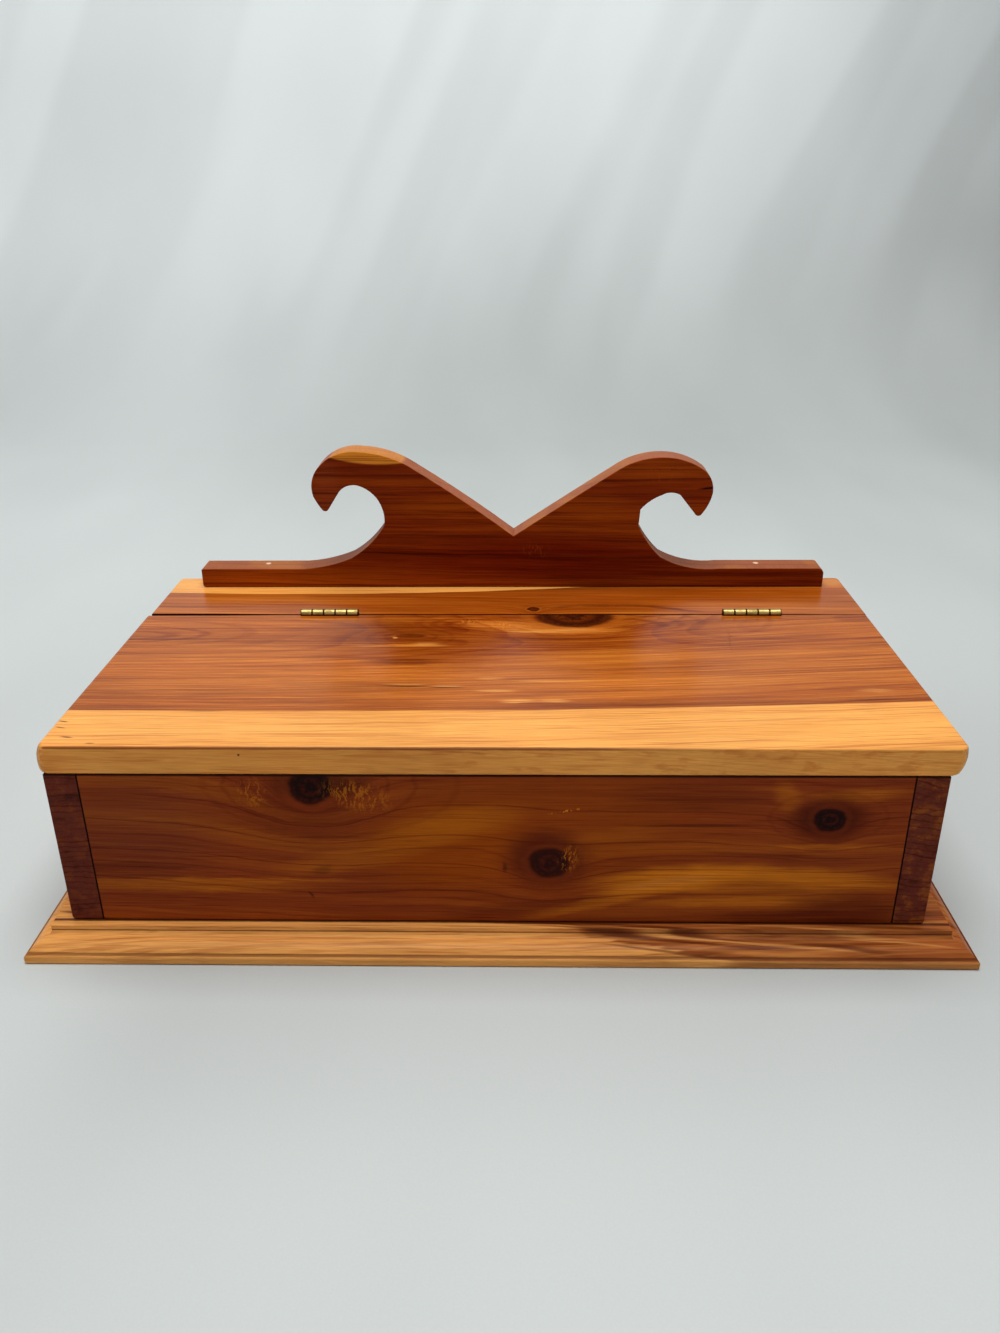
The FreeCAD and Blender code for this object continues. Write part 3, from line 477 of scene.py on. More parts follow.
SCROLL = Board(
    order="XZY", pith=(40, 20), spacing=7.6, taper=0.012, sway=9, ripple=1.8,
    lean=(0.0, 0.0), late=0.7, lines=0.7, streaks=(0.32, 0.44), flat_sawn=False,
    sheen=(0.06, 0.4), sap=((-109, 215.0), (-88, 212.3), (-68, 212.9)), sap_side=1,
    sap_rough=3.0, figure=0.32, joint=None, knots=(),
    stains=(
        Stain(30, 146, 130, 24, 0, "amber", 0.9),
        Stain(-160, 132, 100, 10, 0, "glow", 0.75),
        Stain(-40, 183, 60, 9, 0, "glow", 0.5),
        Stain(60, 183, 40, 12, 0, "glow", 0.4),
        Stain(-120, 190, 14, 40, 0, "end", 0.2),
        Stain(105, 208, 44, 12, 0, "glow", 0.35),
        Stain(139, 195.5, 10, 1.2, 4, "grime", 1.0),
        Stain(22, 152, 14, 8, 0, "flake", 0.25),
        Stain(110, 205, 20, 9, 0, "flake", 0.2),
    ),
    seams=(
        Seam(-167.8, SCROLL_END_TOP, SCROLL_MIDDLE, 2.6, 1.0, "filler"),
        Seam(177.8, SCROLL_END_TOP, SCROLL_MIDDLE, 2.6, 1.0, "filler"),
        # Painted shade along the foot, where the board stands on the strip
        Seam(None, STRIP_TOP, None, 0.7, 0.8, "grime"),
        Seam(8, 164, None, 1.6, 0.3, "sap"),
    ),
)

BASE = Board(
    order="XYZ", pith=(20, -40), spacing=4.4, taper=0.035, sway=8, ripple=1.6,
    lean=(0.0, 0.0), late=0.6, lines=0.5, streaks=(0.5, 0.4), flat_sawn=False,
    sheen=(0.11, 0.34), sap=((20, -119), (70, -127.6), (120, -135)), sap_side=-1,
    sap_rough=11.0, figure=0.4, joint=None, knots=(),
    stains=(
        Stain(-60, -125, 120, 12, 0, "amber", 0.4),
        Stain(20, -119.5, 46, 1.6, -2, "deep", 0.9),
        Stain(75, -121, 60, 1.8, -4, "deep", 0.9),
        Stain(125, -126, 60, 2.0, -6, "deep", 0.9),
        Stain(175, -129, 60, 2.0, -6, "deep", 0.8),
        Stain(205, -121, 60, 2.2, -4, "deep", 0.8),
        Stain(140, -132, 60, 1.6, -3, "glow", 0.6),
        Stain(60, -124.5, 60, 2.0, -5, "glow", 0.6),
        Stain(-236, -112, 14, 1.8, -3, "deep", 0.9),
        Stain(60, -130, 50, 3.0, -4, "sap", 0.35),
        Stain(48, -126, 16, 2.0, 0, "sap", 0.4),
        Stain(60, -123.6, 60, 1.1, -3, "deep", 0.8),
        Stain(110, -127.5, 70, 1.2, -4, "deep", 0.8),
        Stain(40, -117, 70, 1.2, -2, "deep", 0.7),
        Stain(85, -131, 44, 0.9, -5, "deep", 0.7),
        Stain(-10, -122, 50, 0.8, -2, "deep", 0.35),
        Stain(100, -124.6, 50, 1.0, -4, "sap", 0.7),
        Stain(150, -128.4, 60, 1.1, -5, "sap", 0.6),
        Stain(185, -123.5, 50, 1.2, -4, "sap", 0.55),
        Stain(215, -127, 40, 1.0, -4, "sap", 0.5),
        Stain(120, -119, 60, 1.0, -2, "glow", 0.7),
        Stain(18, -115.2, 30, 1.0, 0, "deep", 0.8),
        Stain(165, -124, 80, 5, -4, "deep", 0.35),
    ),
    seams=(
        # A painted highlight along the top of the lower band's front; painted shade in the moulding's
        # two grooves; darker where the front wall stands on the base
        Seam(None, BASE_FRONT, 4.2, 1.1, 0.35, "sap"),
        Seam(None, None, 5.6, 0.7, 0.65, "grime"),
        Seam(None, None, 13.6, 0.6, 0.7, "grime"),
        Seam(None, -118.3, BASE_TOP, 1.6, 0.9, "grime"),
        # A painted highlight over the lower band
        Seam(None, None, 2.2, 3.2, 0.3, "sap"),
    ),
)


class Value:
    """A number, place or colour inside a material's node tree."""

    def __init__(self, graph, socket):
        self.graph = graph
        self.socket = socket

    def __add__(self, other):
        return self.graph.math("ADD", self, other)

    def __sub__(self, other):
        return self.graph.math("SUBTRACT", self, other)

    def __rsub__(self, other):
        return self.graph.math("SUBTRACT", other, self)

    def __mul__(self, other):
        return self.graph.math("MULTIPLY", self, other)

    def __truediv__(self, other):
        return self.graph.math("DIVIDE", self, other)

    def __rtruediv__(self, other):
        return self.graph.math("DIVIDE", other, self)

    __radd__ = __add__
    __rmul__ = __mul__


class Graph:
    """A new material and its node tree."""

    def __init__(self, name):
        self.material = bpy.data.materials.new(name)
        self.material.use_nodes = True
        self.tree = self.material.node_tree
        self.tree.nodes.clear()
        self.coordinates = self.node("ShaderNodeTexCoord")

    def node(self, kind, inputs=None, **settings):
        """A node with its settings, and with its inputs given by name or by number."""
        made = self.tree.nodes.new(kind)
        for name, value in settings.items():
            setattr(made, name, value)
        for name, value in (inputs or {}).items():
            self.feed(made.inputs[name], value)
        return made

    def feed(self, socket, value):
        if isinstance(value, Value):
            self.tree.links.new(value.socket, socket)
        elif socket.type == "RGBA":
            socket.default_value = (*value[:3], 1.0)
        else:
            socket.default_value = value

    def value(self, node, output=0):
        return Value(self, node.outputs[output])

    def math(self, operation, *terms, clamp=False):
        inputs = dict(enumerate(terms))
        return self.value(
            self.node("ShaderNodeMath", inputs, operation=operation, use_clamp=clamp)
        )

    def spread(self, value, start, stop, low=0.0, high=1.0):
        """A value eased from low to high as it goes from start to stop."""
        ranges = {"Value": value, "From Min": start, "From Max": stop}
        ranges |= {"To Min": low, "To Max": high}
        return self.value(
            self.node("ShaderNodeMapRange", ranges, interpolation_type="SMOOTHSTEP")
        )

    def vector(self, x, y, z):
        return self.value(self.node("ShaderNodeCombineXYZ", {"X": x, "Y": y, "Z": z}))

    def parts(self, vector):
        split = self.node("ShaderNodeSeparateXYZ", {"Vector": vector})
        return {name: self.value(split, name) for name in "XYZ"}

    def placed(self, vector, place, half_sizes, turn=0.0):
        """Coordinates centred on a place, where each half size is one unit."""
        inputs = {"Vector": vector, "Location": place, "Scale": half_sizes}
        inputs["Rotation"] = (0.0, 0.0, math.radians(turn))
        return self.value(self.node("ShaderNodeMapping", inputs, vector_type="TEXTURE"))

    def length(self, vector):
        made = self.node("ShaderNodeVectorMath", {0: vector}, operation="LENGTH")
        return self.value(made, "Value")

    def scaled(self, vector, factor):
        inputs = {0: vector, "Scale": factor}
        return self.value(self.node("ShaderNodeVectorMath", inputs, operation="SCALE"))

    def moved(self, vector, other):
        inputs = {0: vector, 1: other}
        return self.value(self.node("ShaderNodeVectorMath", inputs, operation="ADD"))

    def in_millimetres(self):
        """Object coordinates in millimetres."""
        return self.scaled(self.value(self.coordinates, "Object"), 1 / MM)

    def noise(self, vector, lengths, detail=2.0, roughness=0.5, colour=False):
        """Noise whose patches are about as long as lengths in each direction."""
        stretched = self.node(
            "ShaderNodeMapping",
            {"Vector": vector, "Scale": tuple(1.0 / length for length in lengths)},
        )
        inputs = {"Vector": self.value(stretched), "Scale": 1.0}
        inputs |= {"Detail": detail, "Roughness": roughness}
        made = self.node("ShaderNodeTexNoise", inputs)
        return self.value(made, "Color" if colour else "Fac")

    def pushed(self, vector, lengths, detail, reach):
        """Coordinates pushed aside by noise, at most by half of reach each way."""
        push = self.moved(self.noise(vector, lengths, detail, colour=True), (-0.5,) * 3)
        return self.moved(vector, self.scaled(push, reach))

    def from_middle(self, vector, mark, half_sizes, turn=0.0):
        """Distance from a mark's middle, 1 at its outline, alike all through the board."""
        place = (mark.along, mark.across, 0)
        return self.length(self.placed(vector, place, (*half_sizes, 1e4), turn))

    def mix(self, share, first, second, blend="MIX"):
        """The first colour, going over to the second as share goes to 1."""
        inputs = {0: share, 6: first, 7: second}
        return self.value(
            self.node("ShaderNodeMix", inputs, data_type="RGBA", blend_type=blend), 2
        )

    def finish(self, height, strength, depth, inputs):
        """The finished material: a principled shader over a relief of some depth."""
        relief = {"Strength": strength, "Distance": depth, "Height": height}
        bump = self.node("ShaderNodeBump", relief)
        shader = self.node("ShaderNodeBsdfPrincipled", {**inputs, "Normal": self.value(bump)})
        output = self.node("ShaderNodeOutputMaterial")
        self.tree.links.new(shader.outputs[0], output.inputs["Surface"])
        return self.material


# Materials


def sap_edge(graph, along, places):
    """Distance across the board of the sapwood's edge, a curve through three places."""
    (x0, y0), (x1, y1), (x2, y2) = places
    first = (y1 - y0) / (x1 - x0)
    second = ((y2 - y1) / (x2 - x1) - first) / (x2 - x0)
    return (along - x0) * (first + second * (along - x1)) + y0


def seam_share(graph, seam, coordinates, uneven):
    """How much of a seam's colour shows: all of it on the seam, and none out of its reach."""
    offsets = [
        coordinate - place for coordinate, place in zip(coordinates, seam) if place is not None
    ]
    away = graph.length(graph.vector(*offsets, *(0.0,) * (3 - len(offsets))))
    settled = graph.spread(away * uneven, seam.reach, seam.reach * 0.3) * seam.strength
    if seam.until is not None:
        settled = settled * graph.spread(coordinates[0], seam.until, seam.until - 100.0)
    return settled


def cedar(name, board, tones, wear, sawn=False):
    """Aromatic cedar cut from a log of year rings, with its knots, streaks and sapwood."""
    graph = Graph(name)
    spread, mix, noise = graph.spread, graph.mix, graph.noise
    where = graph.parts(graph.in_millimetres())
    along, across, through = (where[axis] for axis in board.order)
    spot = graph.vector(along, across, through)
    facing = graph.parts(graph.value(graph.coordinates, "Normal"))
    end_on, side_on, face_on = (graph.math("ABSOLUTE", facing[axis]) for axis in board.order)

    # Year rings round the pith, pushed aside by the knots
    sway = (noise(spot, (240, 60, 60), 1.0) - 0.5) * board.sway
    ripple = (noise(spot, (46, 8, 8), 2.0) - 0.5) * board.ripple
    lean, bend = board.lean
    level = across + sway + ripple - (along * bend + lean) * along
    bulge = along * board.taper
    roughened = graph.pushed(spot, (14, 5, 5), 2.0, 4.0)
    wavy = graph.pushed(spot, (50, 20, 20), 1.0, 3.0)
    knot_distances = []
    for knot in board.knots:
        away = graph.from_middle(roughened, knot, (knot.radius * knot.stretch, knot.radius))
        knot_distances.append(away)
        squared = away * away
        pull = graph.math("MINIMUM", 0.8 / (squared + 0.01), 1.0)
        level = level - (level - knot.across) * pull
        bulge = bulge + knot.rise / (1.0 + squared * 0.14)
    from_pith = graph.vector(0.0, level - board.pith[0], through - board.pith[1])
    ring_place = graph.length(from_pith) + bulge
    years = ring_place / board.spacing + noise(spot, (300, 30, 30), 1.0) * 1.5
    within = graph.math("FRACT", years)
    year = graph.node(
        "ShaderNodeTexWhiteNoise", {"W": graph.math("FLOOR", years)}, noise_dimensions="1D"
    )
    vigour = spread(graph.value(year), 0.0, 1.0, 0.25, 1.0)
    darkest = 0.94
    latewood = (
        spread(within, board.late, darkest) * spread(within, darkest, 1.0, 1.0, 0.0) * vigour
    )

    # Broad bands, streaks and fibres that follow the rings
    flow_across = level + bulge * 0.5 if board.flat_sawn else ring_place
    flow = graph.vector(along, flow_across, through)
    bands = noise(flow, (420, 17, 60), 2.0)
    streaks = noise(flow, (150, 3.2, 14), 3.0, 0.6)
    threads = noise(flow, (110, 1.5, 6), 3.0, 0.6)
    hairs = noise(spot, (60, 0.8, 2.5), 3.0, 0.65)
    fibres = noise(spot, (16, 0.35, 0.35), 2.0, 0.6)
    patches = noise(spot, (90, 40, 40), 2.0)
    wood = mix(spread(bands, 0.46, 0.66) * board.figure, tones.heart, tones.glow)
    wood = mix(spread(bands, 0.54, 0.36) * board.figure * 0.9, wood, tones.deep)
    lighter, darker = board.streaks
    wood = mix(spread(streaks, 0.5, 0.7) * lighter, wood, tones.glow)
    wood = mix(spread(streaks, 0.5, 0.3) * darker, wood, tones.deep)

    # Streaks and stains in their own places
    flake_marks = spread(noise(roughened, (1.4, 5, 4), 3.0, 0.7), 0.53, 0.57)
    flaked, dirt, thin = [], [], []
    for stain in board.stains:
        ground = wavy if stain.width < THIN else roughened
        half_sizes = (stain.length, stain.width)
        inside = spread(graph.from_middle(ground, stain, half_sizes, stain.turn), 1.0, 0.25)
        grained = inside * spread(streaks, 0.3, 0.55, 0.72, 1.0) * stain.strength
        if stain.colour == "flake":
            flaked.append(inside * flake_marks * stain.strength)
        elif stain.colour == "grime":
            dirt.append(inside * stain.strength)
        elif stain.width < THIN:
            thin.append((grained, getattr(tones, stain.colour)))
        else:
            wood = mix(grained, wood, getattr(tones, stain.colour))

    # Sapwood, the years' dark lines, thin stains and arcs over them, and fine grain
    if board.sap:
        edge = sap_edge(graph, along, board.sap) + (streaks - 0.5) * board.sap_rough
        inward = (across - edge) * board.sap_side
        sapwood = spread(inward, -0.7, 0.9)
        border = spread(inward, -9.0, -0.5) * spread(inward, -0.2, 1.0, 1.0, 0.0)
        wood = mix(border * 0.35, wood, tones.deep)
        pale = mix(spread(bands, 0.42, 0.62) * 0.25, tones.sap, tones.glow)
        wood = mix(sapwood, wood, pale)
        line_share = latewood * board.lines * (1.0 - sapwood * 0.45)
    else:
        line_share = latewood * board.lines
    wood = mix(line_share, wood, tones.line, "MULTIPLY")
    for share, colour in thin:
        wood = mix(share, wood, colour)
    for arc in board.arcs:
        away = graph.from_middle(roughened, arc, (arc.length, arc.width))
        off = graph.math("ABSOLUTE", away - 1.0) * arc.width
        drawn = spread(off, arc.line, arc.line * 0.2) * spread(hairs, 0.3, 0.5, 0.4, 1.0)
        wood = mix(drawn * arc.strength, wood, tones.line, "MULTIPLY")
    wood = mix(spread(threads, 0.5, 0.34) * darker, wood, tones.line, "MULTIPLY")
    wood = mix(spread(threads, 0.52, 0.7) * lighter * 0.6, wood, tones.glow)
    wood = mix(spread(hairs, 0.5, 0.3) * 0.5, wood, tones.line, "MULTIPLY")

    # Knots: dark heart with its own rings, a bark line, and a reddish halo
    knot_relief = 0.0
    gnarled = noise(spot, (3.2, 3.2, 3.2), 3.0, 0.65)
    for knot, away in zip(board.knots, knot_distances):
        rings = graph.math("SINE", (away + gnarled * 0.5) * 11.0) * 0.5 + 0.5
        body = mix(rings * spread(gnarled, 0.3, 0.6) * 0.8, tones.knot, tones.deep)
        heart = spread(away, 1.1, 0.85)
        halo = spread(away, 3.2, 1.0) * spread(gnarled, 0.2, 0.6, 0.6, 1.0) * knot.halo
        wood = mix(halo, wood, tones.deep)
        rim = spread(away, 1.1, 1.3) * spread(away, 1.75, 1.3)
        wood = mix(rim * 0.35 * knot.core, wood, tones.heart)
        wood = mix(heart * knot.core, wood, body)
        bark = spread(away, 0.8, 0.98) * spread(away, 1.2, 1.0)
        wood = mix(bark * 0.75 * knot.core, wood, tones.grime)
        knot_relief = knot_relief + rings * heart
    for marks in dirt:
        wood = mix(marks, wood, tones.grime)
    for marks in flaked:
        wood = mix(marks, wood, tones.glow)

    # Cut ends and sawn edges
    on_end = spread(end_on, 0.55, 0.9)
    pitted = noise(spot, (3, 1.6, 1.6), 3.0, 0.7)
    cut_wood = mix(spread(pitted, 0.5, 0.34) * 0.7, tones.end, tones.deep)
    blotches = noise(spot, (7, 7, 9), 4.0, 0.65)
    cut_wood = mix(spread(blotches, 0.48, 0.66) * board.figure * 0.7, cut_wood, tones.glow)
    cut_wood = mix(spread(blotches, 0.46, 0.3) * 0.6, cut_wood, tones.grime)
    cut_wood = mix(latewood * 0.8, cut_wood, tones.line, "MULTIPLY")
    saw_marks = 0.0
    if sawn:
        on_edge = spread(face_on, 0.8, 0.4)
        saw_marks = noise(graph.vector(along + across, 0.0, through), (1.1, 1, 14), 2.0, 0.6)
        sawn_wood = mix(spread(saw_marks, 0.4, 0.7) * 0.3, tones.end, wood)
        golden = noise(spot, (34, 16, 30), 2.0)
        sawn_wood = mix(spread(golden, 0.48, 0.64) * 0.15, sawn_wood, tones.sap)
        if board.sap:
            sawn_wood = mix(sapwood * 0.3, sawn_wood, tones.sap)
        sawn_wood = mix(latewood * 0.35, sawn_wood, tones.line, "MULTIPLY")
        wood = mix(on_edge * 0.92, wood, sawn_wood)
        saw_marks = saw_marks * on_edge
    else:
        wood = mix(on_end * 0.85, wood, cut_wood)

    # Dirt and painted shade along joints and grooves, and marks on single edges, some of them painted
    # highlights
    uneven = noise(spot, (7, 2, 2), 2.0, 0.6) * 0.6 + 0.7
    for seam in board.seams:
        settled = seam_share(graph, seam, (along, across, through), uneven)
        wood = mix(settled, wood, getattr(tones, seam.colour))
    # Painted shade, with dirt, in the lid's joint: faces that look across the board near it are
    # darkened
    if board.joint is not None:
        beside = spread(graph.math("ABSOLUTE", across - board.joint), 4.0, 3.0)
        wood = mix(beside * spread(side_on, 0.4, 0.7) * 0.92, wood, tones.grime)
    shade = spread(fibres, 0.2, 0.8, 0.86, 1.1) * spread(patches, 0.25, 0.75, 0.93, 1.06)
    wood = graph.scaled(wood, shade)

    # Relief and sheen of a rubbed finish over open grain
    height = fibres * 0.5 - latewood * 0.3 + hairs * 0.35 + saw_marks * 0.6
    for marks in flaked:
        height = height + marks * 1.6
    if board.knots:
        height = height - knot_relief * 0.35
    height = height - pitted * on_end * 0.8
    level_of_sheen, roughness = board.sheen
    roughness = (fibres - 0.5) * 0.12 - latewood * 0.04 + on_end * 0.12 + roughness
    return graph.finish(height, 0.55, wear.pores, {
        "Base Color": wood, "Roughness": roughness,
        "Specular IOR Level": level_of_sheen, "IOR": 1.45,
    })


def brass(name, tones, first_joint=0.0, joint_spacing=1000.0, seat=0.0):
    """Worn brass, dulled in patches, with painted shade near its seat and painted shade with dirt at
    its joints.
    """
    graph = Graph(name)
    place = graph.in_millimetres()
    clouds = graph.noise(place, (5, 2.2, 2.2), 3.0, 0.6)
    scratches = graph.noise(place, (9, 0.12, 0.12), 2.0, 0.6)
    specks = graph.noise(place, (0.5, 0.5, 0.5), 2.0, 0.6)
    dull = graph.spread(clouds, 0.42, 0.62)
    metal = graph.mix(dull * 0.55, tones.brass, tones.tarnish)
    metal = graph.mix(graph.spread(specks, 0.62, 0.74) * 0.6, metal, tones.tarnish)
    x, _, z = graph.parts(place).values()
    # Painted shade on the lower part, near the wood it sits over
    metal = graph.mix(graph.spread(z, seat + 1.6, seat + 0.2) * 0.85, metal, tones.grime)
    # Painted shade with dirt in the gaps between the knuckles
    along = (x - first_joint) / joint_spacing
    joint = graph.math("ABSOLUTE", graph.math("FRACT", along + 0.5) - 0.5) * joint_spacing
    metal = graph.mix(graph.spread(joint, 0.8, 0.35) * 0.95, metal, tones.grime)
    height = scratches * 0.5 + specks * 0.5
    roughness = dull * 0.14 + (scratches - 0.5) * 0.15 + 0.36
    return graph.finish(height, 0.35, 0.02 * MM, {
        "Base Color": metal, "Metallic": 1.0, "Roughness": roughness,
    })


def steel(name, clean, stained, metallic=0.9):
    """Drawn steel, with stains from the wood round it."""
    graph = Graph(name)
    place = graph.in_millimetres()
    clouds = graph.noise(place, (2.5, 2.5, 2.5), 3.0, 0.6)
    grit = graph.noise(place, (0.25, 0.25, 0.25), 2.0, 0.6)
    stain = graph.spread(clouds, 0.45, 0.7)
    metal = graph.mix(stain * 0.7, clean, stained)
    return graph.finish(grit, 0.3, 0.02 * MM, {
        "Base Color": metal, "Metallic": metallic, "Roughness": stain * 0.3 + grit * 0.1 + 0.3,
    })


def cloth(name, colour):
    """Pale cloth with the painted shade of faint folds, and a painted glow where it hangs and where it
    lies far out.
    """
    graph = Graph(name)
    spread = graph.spread
    place = graph.in_millimetres()
    x, y, z = graph.parts(place).values()

    # Painted shade of folds, weave, a painted shaded right side, and a painted soft shadow on the
    # floor round the box
    hung = spread(z, 0.0, 300.0)
    shaded = spread(x, 250.0, 1050.0) * hung
    folds = graph.noise(place, (260, 700, 500), 2.0)
    slant = graph.vector(x - z * 0.5, y, z)
    creases = graph.noise(slant, (150, 500, 1500), 1.0)
    weave = graph.noise(place, (1.2, 1.2, 1.2), 2.0, 0.7)
    shade = spread(folds, 0.3, 0.7, 0.93, 1.0) * spread(weave, 0.2, 0.8, 0.97, 1.0)
    shade = shade * (1.0 - shaded * 0.24)
    near = spread(y, -300.0, -150.0) * spread(y, 400.0, 50.0)
    shade = shade * (1.0 - near * spread(x, -260.0, -150.0) * 0.14)

    # A painted glow on the cloth, brighter high up, at the left, in creases and far out, seen by the
    # camera and in reflections, which lights nothing
    through = spread(z, 0.0, 700.0, 0.0, 0.3) * (1.0 - shaded * 0.7)
    through = through + spread(creases, 0.42, 0.6) * hung * 0.05
    brighter = spread(x, 0.0, -650.0) * spread(y, 0.0, 700.0)
    through = through + brighter * spread(z, 600.0, 200.0) * 0.12
    away = graph.length(graph.vector(x, y, 0.0))
    through = through + spread(away, 700.0, 2500.0, 0.0, 0.42) * spread(y, 900.0, 500.0)
    rays = graph.node("ShaderNodeLightPath")
    seen = graph.math(
        "ADD", graph.value(rays, "Is Camera Ray"),
        graph.value(rays, "Is Glossy Ray") + graph.value(rays, "Is Transmission Ray"),
        clamp=True,
    )
    return graph.finish(weave, 0.2, 0.2 * MM, {
        "Base Color": graph.scaled(colour, shade), "Roughness": 0.9, "Specular IOR Level": 0.1,
        "Emission Color": PAINTED_CLOTH_GLOW, "Emission Strength": through * seen,
    })


# Shapes


def corners(vertices):
    """Lowest and highest corner of the box round some vertices."""
    return (
        Vector(pick(vertex.co[axis] for vertex in vertices) for axis in range(3))
        for pick in (min, max)
    )


def ease(share):
    """A share from 0 to 1 that starts and stops softly."""
    share = min(max(share, 0.0), 1.0)
    return share * share * (3 - 2 * share)


def grouped(items, neighbours):
    """Splits items into groups, each reached from its first item by way of neighbours."""
    left = set(items)
    groups = []
    for first in items:
        if first not in left:
            continue
        left.remove(first)
        group = [first]
        for item in group:
            for other in neighbours(item):
                if other in left:
                    left.remove(other)
                    group.append(other)
        groups.append(group)
    return groups


def merged_copy(node):
    """A copy of a node's shape with its loose triangles joined up."""
    shape = bmesh.new()
    shape.from_mesh(frame["nodes"][node].data)
    bmesh.ops.remove_doubles(shape, verts=shape.verts, dist=0.001 * MM)
    return shape


def shaded_smooth(shape, degrees):
    """Shades a shape smooth, apart from edges that turn by more than an angle."""
    for face in shape.faces:
        face.smooth = True
    for edge in shape.edges:
        edge.smooth = edge.is_manifold and edge.calc_face_angle() < math.radians(degrees)


def placed_piece(name, shape):
    """A new object with a shape for its mesh."""
    mesh = bpy.data.meshes.new(name)
    shape.to_mesh(mesh)
    shape.free()
    piece = bpy.data.objects.new(name, mesh)
    bpy.context.scene.collection.objects.link(piece)
    return piece


def slice_across(shape, axis, places):
    """Cuts a shape's faces by planes square to an axis."""
    normal = Vector((0, 0, 0))
    normal[axis] = 1
    for place in places:
        bmesh.ops.bisect_plane(
            shape, geom=[*shape.verts, *shape.edges, *shape.faces],
            plane_co=normal * place, plane_no=normal, dist=1e-7,
        )


def bevelled(shape, edges, width, segments):
    """Rounds some edges of a shape."""
    bmesh.ops.bevel(
        shape, geom=edges, offset=width, offset_type="OFFSET", affect="EDGES",
        segments=segments, profile=0.5, material=-1, clamp_overlap=True,
    )


def round_low_end(shape):
    """Rounds the lower corner of the scroll board's left end."""
    low, _ = corners(shape.verts)
    near = 0.01 * MM
    lowest = [
        edge
        for edge in shape.edges
        if all(abs(v.co.x - low.x) < near and abs(v.co.z - low.z) < near for v in edge.verts)
    ]
    rounding = 2.4 * MM
    bevelled(shape, lowest, rounding, 5)


def round_ends(shape, end_fall):
    """Rounds the lid's ends over: full in the middle, falling back above and below."""
    low, high = corners(shape.verts)
    thickness = high.z - low.z
    slice_across(shape, 2, [low.z + thickness * step / 10 for step in range(1, 10)])
    # The right end falls back most at the bottom, and the left end at the top
    reach = 9 * MM
    for vertex in shape.verts:
        drop = (high.z - vertex.co.z) / thickness
        rise = 1 - drop
        if high.x - vertex.co.x < reach:
            vertex.co.x -= end_fall * (1.3 * drop ** 3 + 0.5 * rise ** 4 - 0.1)
        elif vertex.co.x - low.x < reach:
            vertex.co.x += end_fall * (1.15 * rise ** 4 + 0.5 * drop ** 8 - 0.85)


def wear_joint(shape, edge, way, wider, nearer):
    """Moves a board's face at the lid's joint back on the left and forward on the right."""
    left_start, left_run = -140 * MM, 60 * MM
    right_start, right_run = 185 * MM, 45 * MM
    places = [*range(-232, -139, 8), *range(148, 236, 8)]
    slice_across(shape, 0, [place * MM for place in places])
    for vertex in shape.verts:
        if abs(vertex.co.y - edge) < 1.5 * MM:
            left = ease((left_start - vertex.co.x) / left_run)
            right = ease((vertex.co.x - right_start) / right_run)
            vertex.co.y += way * (wider * left - nearer * right)


def worn_copy(node, width, shortest, segments=3, reshape=None):
    """A copy of a node's mesh with its long sharp edges eased, standing for that node."""
    shape = merged_copy(node)
    bmesh.ops.dissolve_limit(
        shape, angle_limit=math.radians(0.5), verts=shape.verts, edges=shape.edges
    )
    if reshape:
        reshape(shape)
    sharp = [
        edge
        for edge in shape.edges
        if edge.is_manifold and edge.calc_face_angle_signed() > math.radians(EASED_FROM)
    ]
    runs = grouped(sharp, lambda edge: (near for v in edge.verts for near in v.link_edges))
    long_runs = [run for run in runs if sum(edge.calc_length() for edge in run) > shortest]
    if long_runs:
        bevelled(shape, [edge for run in long_runs for edge in run], width, segments)
    shape.normal_update()
    shaded_smooth(shape, SHARP_FROM)
    for face in shape.faces:
        face.material_index = 0
    piece = placed_piece(f"{node}_worn", shape)
    even = piece.modifiers.new("even_shading", "WEIGHTED_NORMAL")
    even.keep_sharp = True
    stand_for(piece, node)
    return piece


def stand_for(piece, node):
    """Gives a piece the body of a node, in whose place it stands, and hides the node."""
    bodies = frame["record"]["behaviour"]["bodies"]
    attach(piece, next(body for body, nodes in bodies.items() if node in nodes))
    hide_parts(node)


def dress(piece, material):
    """Gives a piece its only material."""
    piece.data.materials.clear()
    piece.data.materials.append(material)


def dress_node(node, material):
    """Gives a node that stays in view its material."""
    for slot in frame["nodes"][node].material_slots:
        slot.material = material


def of_kind(things, kind):
    """The vertices or the edges among the things that an operator made."""
    return [thing for thing in things if isinstance(thing, kind)]


def screw_shape(head, shank, length, slot_width, slot_depth):
    """A slotted wood screw pointing down, its flat head's top at the origin."""
    shape = bmesh.new()
    bmesh.ops.create_circle(shape, cap_ends=True, segments=32, radius=head)
    half_width, reach = slot_width / 2, 0.86 * head
    slice_across(shape, 0, (half_width, -half_width))
    slice_across(shape, 1, (reach, -reach))
    slot = [
        face
        for face in shape.faces
        if abs(face.calc_center_median().x) < half_width
        and abs(face.calc_center_median().y) < reach
    ]
    sunk = bmesh.ops.extrude_face_region(shape, geom=slot)["geom"]
    bmesh.ops.delete(shape, geom=slot, context="FACES_ONLY")
    bmesh.ops.translate(shape, verts=of_kind(sunk, bmesh.types.BMVert), vec=(0, 0, -slot_depth))
    core, point, tip = 0.82 * shank, 0.12 * shank, 2.2 * shank
    shaft = length - tip - head + core
    close_below(
        shape, [edge for edge in shape.edges if edge.is_boundary],
        (core, head - core), (core, shaft), (point, tip),
    )
    add_thread(shape, core, shank, tip - length, 0.62 * length)
    bmesh.ops.recalc_face_normals(shape, faces=shape.faces)
    return shape


